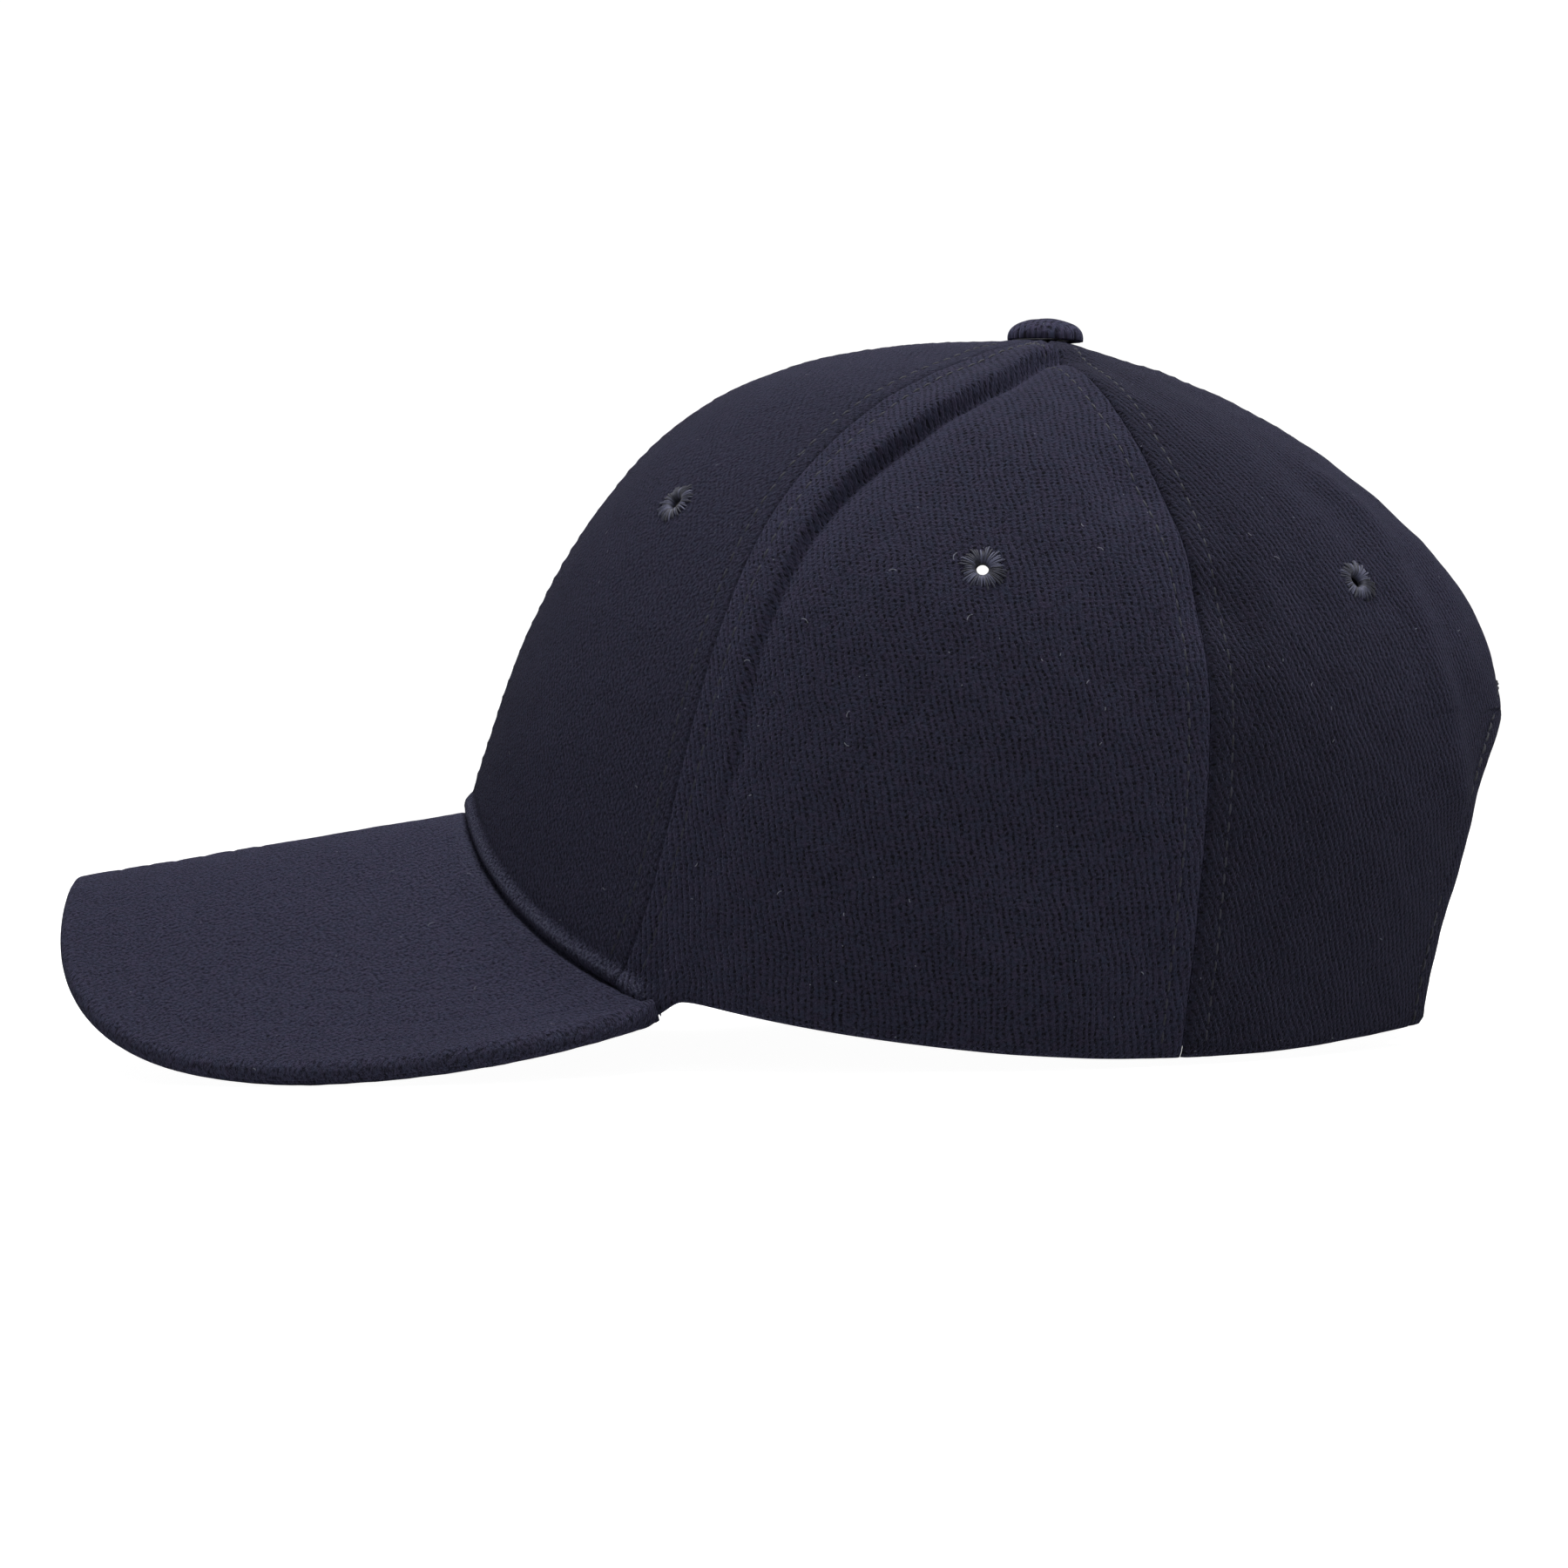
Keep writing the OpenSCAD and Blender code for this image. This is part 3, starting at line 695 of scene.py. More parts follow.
def crownRelief(t, s, side):
    p = crownPoint(t, s)
    seed = 10 + 50 * side
    value = sum(high * wobble(p, size, seed + i) for i, (size, high) in enumerate(reliefForm["unevenness"]))
    calm = 0.45 + 0.55 * smooth((t - seamFront(s)) / 12)
    value = value * calm * smooth((0.97 - s) / 0.1)
    for i, name in enumerate(seamLines):
        value = value + seamRelief(p, name, seed + 5 + i)
    # the crease: a valley behind, a ridge in front
    away, along = nearest(p, creaseLine)
    creaseT = np.interp(s, creaseTS[::-1, 1], creaseTS[::-1, 0])
    behind = np.where(t > creaseT, away, -away)
    share = along / lengths(creaseLine)[-1]
    strength = smooth(share / 0.07) * (1 - 0.6 * smooth((share - 0.42) / 0.25))
    strength = strength * (1 - smooth((share - 0.75) / 0.25))
    past = smooth((behind + 1.0) / 2.2)
    front = np.where(behind < 0, bell(behind + 2, 4.2), 1.0)
    rear = np.exp(-np.clip(behind - 0.8, 0, None) / 4.2)
    proud, deep = reliefForm["creaseProud"], reliefForm["creaseDeep"]
    value = value + strength * (proud * front * (1 - past) - deep * rear * past)
    for dentT, dentS, deep, wide in reliefForm["dents"]:
        away = np.linalg.norm(p - crownPoint(dentT, dentS), axis=-1)
        value = value - deep * bell(away, wide)
    away, _ = nearest(p, ridgeLine)
    value = value + reliefForm["ridgeHigh"] * bell(away, 5.5)
    # the band rolled out above the brim, and the turned hem
    away, _ = nearest(p, hemLine)
    front = 1 - smooth((np.abs(t) - 50) / 5)
    rolled = 0.95 * bell(away - 2.1, 1.6) - 1.1 * bell(away, 0.7) - 0.3 * bell(away - 4.7, 0.6)
    value = value + front * rolled
    value = value - (1 - front) * 0.55 * bell(away, 0.8)
    # the mask is high on the rolled band's upper edge and at the hem: partly rubbing, partly a painted
    # highlight on the band's ridge
    wearAndHighlight = front * bell(away - 3.0, 1.6) + 0.35 * (1 - front) * bell(away - 1, 1.0)
    away, _ = nearest(p, archLine)
    value = value - 0.55 * bell(away, 0.8)
    value = value - 0.2 * bell(away - 5.6, 0.5) + 0.15 * bell(away - 3, 2)
    for eyeSide, eyeT, eyeS in eyelets.values():
        if eyeSide == side:
            away = np.linalg.norm(p - crownPoint(eyeT, eyeS), axis=-1)
            value = value - 0.3 * bell(away, 3.6)
    return value, wearAndHighlight


def crownSkin(t, s, side):
    # the cloth's outer face, on the left or, mirrored, on the right
    n = crownNormal(t, s)
    lift, wearAndHighlight = crownRelief(t, s, side)
    p = crownPoint(t, s) + n * lift[..., None]
    p[..., 1] = np.where(np.sin(np.radians(t)) < 0.001, 0, p[..., 1])
    p[..., 2] -= reliefForm["hemDip"] * bell(np.abs(t) - 52.5, 3.6) * (1 - smooth(s / 0.035))
    if side:
        p, n = p * [1, -1, 1], n * [1, -1, 1]
    return p, n, wearAndHighlight


panelForm = {"rows": 190, "cols": 130, "sideCols": 190, "gap": 0.02, "holeRadius": 1.8}


def panelUV(points, share=0.5):
    # flat-pattern lengths: across from one column, a share of the way over, and up along it
    step = np.linalg.norm(np.diff(points, axis=1), axis=2)
    across = np.concatenate([np.zeros((len(points), 1)), np.cumsum(step, axis=1)], axis=1)
    column = int(share * (points.shape[1] - 1))
    across = across - across[:, column][:, None]
    middle = points[:, column]
    up = np.repeat(lengths(middle)[:, None], points.shape[1], axis=1)
    return np.stack([across, up], -1)


def cutHoles(piece, side, radius, depth=0.0):
    # takes out the cloth inside each eyelet and draws the hole's rim into a circle
    for eyeSide, eyeT, eyeS in eyelets.values():
        if eyeSide != side:
            continue
        centre, normal, _ = crownSkin(np.array([float(eyeT)]), np.array([float(eyeS)]), side)
        centre = Vector(placed(centre[0] - depth * normal[0]))
        normal = Vector(turned(normal[0]))
        mesh = piece.data
        near = [v.index for v in mesh.vertices if (v.co - centre).length < (radius + 2.5) * mm]
        if not near:
            continue
        inside = {i for i in near if (mesh.vertices[i].co - centre).length < radius * mm}
        bpy.ops.object.select_all(action="DESELECT")
        bpy.context.view_layer.objects.active = piece
        piece.select_set(True)
        bpy.ops.object.mode_set(mode="EDIT")
        bpy.ops.mesh.select_all(action="DESELECT")
        bpy.ops.object.mode_set(mode="OBJECT")
        for i in inside:
            mesh.vertices[i].select = True
        bpy.ops.object.mode_set(mode="EDIT")
        bpy.ops.mesh.delete(type="VERT")
        bpy.ops.object.mode_set(mode="OBJECT")
        piece.select_set(False)
        counts = {}
        for polygon in mesh.polygons:
            for key in polygon.edge_keys:
                counts[key] = counts.get(key, 0) + 1
        rim = {i for key, n in counts.items() if n == 1 for i in key}
        for i in rim:
            off = mesh.vertices[i].co - centre
            if off.length < (radius + 2.5) * mm:
                high = off.dot(normal)
                flat = (off - normal * high).normalized()
                mesh.vertices[i].co = centre + normal * high * 0.3 + flat * radius * mm


sheets = []


def declareSheet(piece, size, area=None):
    width, length = round(size[0] * mm, 4), round(size[1] * mm, 4)
    area = width * length if area is None else min(area, width * length)
    sheets.append((piece.name, round(size[0]), round(size[1]), round(area * 1e6)))


def makePanel(name, side, low, high, grain, material):
    rows = panelForm["rows"]
    cols = panelForm["sideCols" if name.startswith("side") else "cols"]
    s = np.linspace(0, crownForm["buttonHole"], rows)
    a, b = low(s) + panelForm["gap"], high(s) - panelForm["gap"]
    t = a[:, None] + (b - a)[:, None] * np.linspace(0, 1, cols)[None]
    grid = np.repeat(s[:, None], cols, axis=1)
    plain = crownPoint(t, grid)
    points, _, wearAndHighlight = crownSkin(t, grid, side)
    uv = panelUV(plain, grain)
    if side:
        uv[..., 0] *= -1
    faces = gridFaces(rows, cols, flip=bool(side))
    piece = newPiece(name + "_cloth", placed(points).reshape(-1, 3), faces, uv.reshape(-1, 2), wearAndHighlight)
    cutHoles(piece, side, panelForm["holeRadius"])
    thicken(piece, reliefForm["clothThick"])
    finishPiece(piece, "cap", material, [name])
    declareSheet(piece, (np.ptp(uv[..., 0]), uv[..., 1].max()), gridArea(plain))


def zeroAngle(s):
    return np.zeros_like(s)


for side, word in enumerate(("left", "right")):
    makePanel("front_panel_" + word, side, zeroAngle, seamFront, 0.5, frontTwill)
    makePanel("side_panel_" + word, side, seamFront, seamBack, 0.5, sideTwill)
    makePanel("back_panel_" + word, side, seamBack, archEdge, 0, backTwill)
print("panels ready")


# every stitch is a short rounded strand, sunk at both ends
stitchForm = {
    "sides": 6,
    "sink": 0.35,
    # along one stitch: the place as a share of its length, the girth and the lift as shares of its radius
    "stations": np.array([-0.5, -0.34, 0.0, 0.34, 0.5]),
    "girth": np.array([0.4, 0.9, 1.0, 0.9, 0.4]),
    "lift": np.array([-1.3, -0.25, 0.05, -0.25, -1.3]),
}


def stitchMesh(name, rows, radius, length, gap, material, body="cap", slot="crown_twill"):
    # each row is (points, normals) in metres
    f = stitchForm
    sides = f["sides"]
    verts, faces = [], []
    angles = np.linspace(0, 2 * math.pi, sides, endpoint=False)
    for points, normals in rows:
        reach = lengths(points)
        pitch = (length + gap) * mm
        count = int(reach[-1] // pitch)
        for i in range(count):
            middle = (i + 0.5) * pitch + rng.uniform(-0.06, 0.06) * pitch
            at = middle + f["stations"] * length * mm * rng.uniform(0.9, 1.05)
            centre = np.stack([np.interp(at, reach, points[:, k]) for k in range(3)], 1)
            up = unit(np.stack([np.interp(at, reach, normals[:, k]) for k in range(3)], 1))
            along = unit(np.gradient(centre, axis=0))
            out = np.cross(along, up)
            up = unit(np.cross(out, along))
            out = unit(out)
            centre = centre + up * ((f["lift"] + f["sink"]) * radius * mm)[:, None]
            centre = centre + out * rng.normal() * 0.04 * mm
            base = len(verts)
            for k in range(5):
                r = radius * mm * f["girth"][k]
                for angle in angles:
                    verts.append(centre[k] + r * (math.cos(angle) * out[k] + math.sin(angle) * up[k]))
            for k in range(4):
                for m in range(sides):
                    n = (m + 1) % sides
                    lowEdge, highEdge = base + k * sides, base + (k + 1) * sides
                    faces.append((lowEdge + m, highEdge + m, highEdge + n, lowEdge + n))
            faces.append(tuple(base + m for m in range(sides)))
            faces.append(tuple(base + 4 * sides + m for m in reversed(range(sides))))
    piece = newPiece(name, np.array(verts), faces)
    finishPiece(piece, body, material)


def offsetRow(seam, off, low, high, side):
    # a line on the crown's cloth at a set distance from a seam
    s = np.linspace(low, high, 260)
    t = seam(s)
    p = crownPoint(t, s)
    perDegree = np.linalg.norm(crownPoint(t + 1, s) - p, axis=1)
    slope = np.gradient(t, s) * perDegree
    rise = np.linalg.norm(np.gradient(p, s, axis=0), axis=1)
    lean = np.sqrt(1 + (slope / np.maximum(rise, 1e-6)) ** 2)
    points, normals, _ = crownSkin(t + off * lean / perDegree, s, side)
    return placed(points), turned(normals)


def halfTurn(s):
    return np.full_like(s, 180.0)


crownStitch = {"radius": 0.21, "length": 2.5, "gap": 0.75}
# each seam's rows: where they start above the hem, and which side of the seam they are on
seamRows = {
    "frontSide": (seamFront, 0.03, (-1, 1)),
    "sideBack": (seamBack, 0.012, (-1, 1)),
    "centreFront": (zeroAngle, 0.03, (1,)),
    "centreBack": (halfTurn, archTop + 0.03, (-1,)),
}
for side, word in enumerate(("left", "right")):
    rows = []
    for name, (seam, low, ways) in seamRows.items():
        rows += [offsetRow(seam, way * reliefForm["seams"][name][0], low, 0.93, side) for way in ways]
    stitchMesh("crown_topstitch_" + word, rows, material=navyThread, **crownStitch)


def archRow(off, side):
    # follows the opening's edge at a set distance, from the hem to the middle of its top
    p = archLine
    n = crownNormal(archEdge(archLineS), archLineS)
    along = unit(np.gradient(p, axis=0))
    outward = unit(np.cross(n, along))
    outward[-3:] = outward[-4]
    line = p - outward * off if (p[0] - outward[0] * off)[1] < p[0][1] else p + outward * off
    keep = line[:, 1] < -0.05
    line, n = (line - 0.2 * n)[keep], n[keep]
    if side:
        line, n = line * [1, -1, 1], n * [1, -1, 1]
    return placed(line), turned(n)


stitchMesh("arch_topstitch", [archRow(5.6, 0), archRow(5.6, 1)], material=navyThread, **crownStitch)
print("crown stitches ready")


eyeletForm = {
    "count": 46,
    "strand": 0.18,
    # one stitch, from its outer end over the rim and through the hole, as (radius, height)
    "path": [(4.4, -0.15), (3.9, 0.3), (2.9, 0.5), (1.95, 0.42), (1.48, -0.1), (1.5, -0.95),
             (2.3, -1.45), (3.8, -1.3)],
}


def makeEyelet(word, side, t, s):
    centre, normal, _ = crownSkin(np.array([float(t)]), np.array([float(s)]), side)
    centre, normal = placed(centre[0]), unit(turned(normal[0]))
    first = unit(np.cross(normal, [0.0, 0.0, 1.0]))
    second = np.cross(normal, first)
    random = np.random.default_rng(100 + len(word) * 7 + side)
    verts, faces, wearAndHighlight = [], [], []
    sides = 5
    count = eyeletForm["count"]
    for i in range(count):
        turn = 2 * math.pi * (i + random.uniform(-0.22, 0.22)) / count
        stretch = random.uniform(0.82, 1.12)
        # shine sets how strongly each strand gets a painted highlight
        shine = random.uniform(0, 1)
        radial = math.cos(turn) * first + math.sin(turn) * second
        sideways = np.cross(normal, radial)
        line = []
        for r, h in eyeletForm["path"]:
            reach = r * stretch if r > 2.5 else r
            line.append(centre + (radial * reach + normal * h) * mm)
        line = np.array(line)
        along = unit(np.gradient(line, axis=0))
        base = len(verts)
        for k in range(len(line)):
            out = unit(np.cross(along[k], sideways))
            taper = 0.55 if k in (0, len(line) - 1) else 1
            r = eyeletForm["strand"] * mm * taper * random.uniform(0.92, 1.1)
            for m in range(sides):
                angle = 2 * math.pi * m / sides
                verts.append(line[k] + r * (math.cos(angle) * sideways + math.sin(angle) * out))
                wearAndHighlight.append(shine)
        for k in range(len(line) - 1):
            for m in range(sides):
                n = (m + 1) % sides
                lowEdge, highEdge = base + k * sides, base + (k + 1) * sides
                faces.append((lowEdge + m, lowEdge + n, highEdge + n, highEdge + m))
        faces.append(tuple(base + m for m in reversed(range(sides))))
        faces.append(tuple(base + (len(line) - 1) * sides + m for m in range(sides)))
    piece = newPiece("eyelet_stitches_" + word, np.array(verts), faces, wearAndHighlight=wearAndHighlight)
    finishPiece(piece, "cap", eyeletThread, ["eyelet_" + word])


for word, (side, t, s) in eyelets.items():
    makeEyelet(word, side, t, s)
print("eyelets ready")


# the brim's cloth, with its rows of stitching counted in from the rim
brimCloth = {
    "boardReach": (0.02, 0.95),
    "boardSpan": 0.965,
    "cols": 250,
    "rows": 96,
    "rowsFrom": 8.6,
    "rowStep": 5.7,
    "rowCount": 6,
    "groove": 0.2,
    "unevenness": [(20, 0.1), (7, 0.06), (3.4, 0.035)],
    "curlSteps": 12,
    "grooveTurn": -14,
    "thick": 0.7,
}
brimQ = np.sin(np.linspace(-math.pi / 2, math.pi / 2, brimCloth["cols"])) * 0.9995
rimLine = brimMid(np.sin(np.linspace(-math.pi / 2, math.pi / 2, 1400)) * 0.995, 1.0)


rowPlaces = [brimCloth["rowsFrom"] + brimCloth["rowStep"] * i for i in range(brimCloth["rowCount"])]


def brimRelief(p, away, along, jointAway, seed):
    value = sum(high * wobble(p, size, seed + i) for i, (size, high) in enumerate(brimCloth["unevenness"]))
    for i, place in enumerate(rowPlaces):
        gap = abs(away - place)
        phase = i * 1.7 + 1.6 * wobble(p, 13, seed + 3 + i)
        pucker = np.sin(2 * math.pi * along / (3.4 + 0.07 * i) + phase)
        value = value - brimCloth["groove"] * bell(gap, 0.62)
        value = value + 0.05 * pucker * bell(gap, 2.0)
    return value * smooth((jointAway + 1) / 3) - 0.6 * bell(jointAway, 1.1)


def brimSheet(name, sign, seed, material, stands):
    # sign 1 is the top cover and -1 the under cover; both curl round the rim to a groove
    rows, curl = brimCloth["rows"], brimCloth["curlSteps"]
    ends = np.sqrt(1.08 - np.clip((np.abs(brimQ) - 0.962) / 0.0375, 0, 1) ** 2)[:, None].clip(max=1)
    half = brimForm["halfThick"] * ends
    normal = brimNormal(brimQ, 1.0)
    edge = brimMid(brimQ, 1.0)
    out = unit(np.cross(np.gradient(edge, axis=0), normal))
    out = np.where(((edge - brimMid(brimQ, 0.9)) * out).sum(1)[:, None] < 0, -out, out)
    inset = edge - half * out
    joint = brimMid(brimQ, 0.0)
    v = np.linspace(-0.03, 1, rows)[:, None, None]
    middle = joint + (inset - joint) * v
    flatNormal = brimNormal(brimQ[None], np.clip(v[..., 0], 0, 1) * np.ones((1, len(brimQ))))
    blendIn = smooth((v - 0.9) / 0.1)
    flatNormal = unit(flatNormal * (1 - blendIn) + normal[None] * blendIn)
    away, along = nearest(middle, rimLine)
    jointAway = np.linalg.norm(middle - joint, axis=-1) * np.where(v[..., 0] < 0, -1, 1)
    lift = half[:, 0] + brimRelief(middle, away, along, np.abs(jointAway), seed) * ends[:, 0]
    body = middle + sign * flatNormal * lift[..., None]
    turns = sign * np.radians(np.linspace(90, sign * brimCloth["grooveTurn"], curl + 1)[1:])
    rim = [inset + out * half * math.cos(a) + normal * lift[-1][:, None] * math.sin(a) for a in turns]
    rim.append(rim[-1] - out * 0.55 * ends)
    points = np.concatenate([body, np.array(rim)])
    arc = np.cumsum(np.linalg.norm(np.diff(points[rows - 1:], axis=0), axis=-1), axis=0)
    flat = np.concatenate([body[..., 1::-1], body[-1, :, 1::-1] + out[:, 1::-1] * arc[..., None]])
    uv = flat * [1.15, 1.0]
    # the mask: rubbing at the joint and rim, and a broad painted highlight over the middle of the brim near
    # the crown
    wearAndHighlight = 0.4 * bell(jointAway - 2, 2.5) + 0.3 * bell(away, 2.5)
    wearAndHighlight = wearAndHighlight + 0.45 * bell(jointAway, 40) * bell(brimQ, 0.75)
    wearAndHighlight = np.concatenate([wearAndHighlight, np.repeat(wearAndHighlight[-1:], len(rim), axis=0)])
    faces = gridFaces(len(points), len(brimQ), flip=sign < 0)
    piece = newPiece(name + "_cloth", placed(points).reshape(-1, 3), faces, uv.reshape(-1, 2), wearAndHighlight)
    thin = piece.vertex_groups.new(name="thin")
    for column in np.flatnonzero(ends[:, 0] < 0.999):
        places = (np.arange(len(points)) * len(brimQ) + column).tolist()
        thin.add(places, float(1 - ends[column, 0]), "REPLACE")
    thicken(piece, brimCloth["thick"], thin=thin.name)
    finishPiece(piece, "cap", material, stands)
    declareSheet(piece, (np.ptp(uv[..., 0]), np.ptp(uv[..., 1])), gridArea(middle))
    return body, away, sign * flatNormal


def brimStitchLines(body, away, normals):
    lines = []
    for place in rowPlaces:
        points, ups = [], []
        for j in range(body.shape[1]):
            column = away[::-1, j]
            if column.max() < place + 1.5:
                continue
            points.append([np.interp(place, column, body[::-1, j, k]) for k in range(3)])
            ups.append([np.interp(place, column, normals[::-1, j, k]) for k in range(3)])
        lines.append((placed(np.array(points)), turned(unit(np.array(ups)))))
    return lines


top = brimSheet("brim_top_cover", 1, 300, brimTwill, ["brim_top_cover"])
under = brimSheet("brim_under_cover", -1, 400, underTwill, ["brim_under_cover"])
brimStitch = {"radius": 0.2, "length": 2.4, "gap": 0.8}
for name, cover in {"brim_topstitch": top, "brim_understitch": under}.items():
    stitchMesh(name, brimStitchLines(*cover), material=navyThread, slot="brim_twill", **brimStitch)


def makeBoard():
    v = np.linspace(*brimCloth["boardReach"], 30)[:, None]
    q = brimQ[np.abs(brimQ) < brimCloth["boardSpan"]]
    flat = brimMid(q[None], v)
    board = newPiece("brim_board_plate", placed(flat).reshape(-1, 3), gridFaces(len(v), len(q)))
    thicken(board, 2 * brimForm["halfBoard"] - 0.2, offset=0)
    finishPiece(board, "cap", boardPlastic, ["brim_board"])


makeBoard()
print("brim ready")


buttonForm = {
    "across": 15.2, "high": 4.4, "lift": 0.1, "tilt": 1.5, "cut": 0.12, "drawnIn": 0.72, "wall": 0.8,
}


def makeButton():
    f = buttonForm
    radius = f["across"] / 2 * mm
    bpy.ops.mesh.primitive_uv_sphere_add(segments=96, ring_count=64, radius=radius)
    cover = bpy.context.object
    cover.name = "button_cover_cloth"
    bpy.ops.object.mode_set(mode="EDIT")
    bpy.ops.mesh.select_all(action="SELECT")
    bpy.ops.mesh.bisect(plane_co=(0, 0, -f["cut"] * radius), plane_no=(0, 0, 1), clear_inner=True)
    bpy.ops.mesh.select_all(action="SELECT")
    bpy.ops.transform.translate(value=(0, 0, f["cut"] * radius))
    bpy.ops.object.mode_set(mode="OBJECT")
    mesh = cover.data
    co = np.zeros(len(mesh.vertices) * 3)
    mesh.vertices.foreach_get("co", co)
    p = co.reshape(-1, 3) / mm
    # a flattened dome: full at the side, low at the top
    p[:, 2] = np.clip(p[:, 2] / p[:, 2].max(), 0, 1) ** 0.82 * f["high"]
    n = unit(np.stack([p[:, 0], p[:, 1], 3 * p[:, 2]], -1) + 1e-9)
    ripple = 0.07 * wobble(p, 5, 900) + 0.04 * wobble(p, 2.6, 901)
    gather = 0.12 * np.sin(np.arctan2(p[:, 1], p[:, 0]) * 19 + wobble(p, 8, 902)) * bell(p[:, 2], 1.3)
    p = p + n * (ripple + gather)[:, None] + [0, 0, f["lift"]]
    p[:, 2] = np.maximum(p[:, 2], f["lift"] - 0.5)
    tilt = math.radians(f["tilt"])
    x = p[:, 0] * math.cos(tilt) + p[:, 2] * math.sin(tilt)
    z = p[:, 2] * math.cos(tilt) - p[:, 0] * math.sin(tilt)
    p = np.stack([x, p[:, 1], z], -1)
    layer = mesh.uv_layers.active or mesh.uv_layers.new(name="weave")
    layer.name = "weave"
    corner = np.zeros(len(mesh.loops), np.int32)
    mesh.loops.foreach_get("vertex_index", corner)
    layer.data.foreach_set("uv", p[corner][:, :2].astype(np.float32).ravel())
    whole = placed(p + [crownForm["apexX"], 0, crownForm["top"] + 0.1])
    mesh.vertices.foreach_set("co", whole.ravel())
    mesh.update()
    # the cloth's edge is drawn in under the dome
    bpy.ops.object.mode_set(mode="EDIT")
    bpy.ops.mesh.select_all(action="DESELECT")
    bpy.ops.mesh.select_non_manifold()
    bpy.ops.mesh.extrude_region_move()
    bpy.ops.transform.resize(value=(f["drawnIn"], f["drawnIn"], 1.0))
    bpy.ops.object.mode_set(mode="OBJECT")
    mesh.shade_smooth()
    thicken(cover, f["wall"])
    finishPiece(cover, "cap", buttonTwill, ["button_cover"])
    flat = f["across"] + 6
    declareSheet(cover, (flat, flat), math.pi / 4 * flat * flat * mm * mm)


makeButton()
print("button ready")


# depths are below the plain form
insideForm = {
    "buckramIn": 1.35, "buckramThick": 0.6, "tapeIn": 2.4, "tapeThick": 0.5, "tapeHalf": 5.0,
    "bandIn": 3.2, "bandThick": 1.0, "bandHigh": 30.0, "bandEnd": 149.0, "faceLength": 175.0,
    "facingWide": 6.0,
}


def insideSheet(name, t, s, depth, thick, side, material, relief, holes=False):
    # a sheet inside the crown, its outer face at the given depth below the plain form
    n = crownNormal(t, s)
    follow = np.minimum(crownRelief(np.abs(t), s, side)[0], 0.2) * relief
    p = crownPoint(t, s) + n * (follow - depth)[..., None]
    if side:
        p = p * [1, -1, 1]
    uv = panelUV(crownPoint(t, s))
    faces = gridFaces(*t.shape, flip=bool(side))
    piece = newPiece(name + "_cloth", placed(p).reshape(-1, 3), faces, uv.reshape(-1, 2))
    if holes:
        cutHoles(piece, side, panelForm["holeRadius"] - 0.1, depth)
    thicken(piece, thick)
    finishPiece(piece, "cap", material, [name])
    declareSheet(piece, (np.ptp(uv[..., 0]), np.ptp(uv[..., 1])), gridArea(crownPoint(t, s)))


def makeBuckram(word, side):
    s = np.linspace(0.03, 0.94, 100)
    wide = seamFront(s) - 0.6
    t = 0.2 + wide[:, None] * np.linspace(0, 1, 50)[None]
    grid = np.repeat(s[:, None], 50, axis=1)
    insideSheet("buckram_" + word, t, grid, insideForm["buckramIn"], insideForm["buckramThick"], side,
                paleBuckram, relief=0.5, holes=True)


def tapeGrid(seam, low, high):
    s = np.linspace(low, high, 150)
    t = seam(s)
    perDegree = np.linalg.norm(crownPoint(t + 1, s) - crownPoint(t, s), axis=1)
    off = insideForm["tapeHalf"] / perDegree
    grid = t[:, None] + off[:, None] * np.linspace(-1, 1, 13)[None]
    return grid, np.repeat(s[:, None], 13, axis=1)


def makeTape(name, seam, low, high, side):
    t, s = tapeGrid(seam, low, high)
    insideSheet(name, t, s, insideForm["tapeIn"], insideForm["tapeThick"], side, navyTape,
                relief=0.35)
    rows = []
    for share in (-0.78, 0.78):
        line = t[:, 6] + (t[:, 12] - t[:, 6]) * share
        n = crownNormal(line, s[:, 6])
        follow = np.minimum(crownRelief(np.abs(line), s[:, 6], side)[0], 0.2) * 0.35
        depth = insideForm["tapeIn"] + insideForm["tapeThick"]
        p = crownPoint(line, s[:, 6]) + n * (follow - depth)[:, None]
        if side:
            p, n = p * [1, -1, 1], n * [1, -1, 1]
        rows.append((placed(p), -turned(n)))
    stitchMesh(name + "_stitches", rows, 0.17, 2.4, 0.9, navyThread, slot="seam_tape")


for side, word in enumerate(("left", "right")):
    makeBuckram(word, side)
    makeTape("seam_tape_front_side_" + word, seamFront, 0.1, 0.9, side)
    makeTape("seam_tape_side_back_" + word, seamBack, 0.1, 0.9, side)
makeTape("seam_tape_front", zeroAngle, 0.08, 0.9, 0)
makeTape("seam_tape_back", halfTurn, archTop + 0.09, 0.9, 0)
print("lining and tapes ready")


def bandDepth(t):
    return insideForm["bandIn"] + 4.5 * smooth((np.abs(t) - 112) / 22)


def bandPoint(t, z, extra):
    s = z / insideForm["faceLength"]
    n = crownNormal(t, s)
    return crownPoint(t, s) - n * (bandDepth(t) + extra)[..., None], n


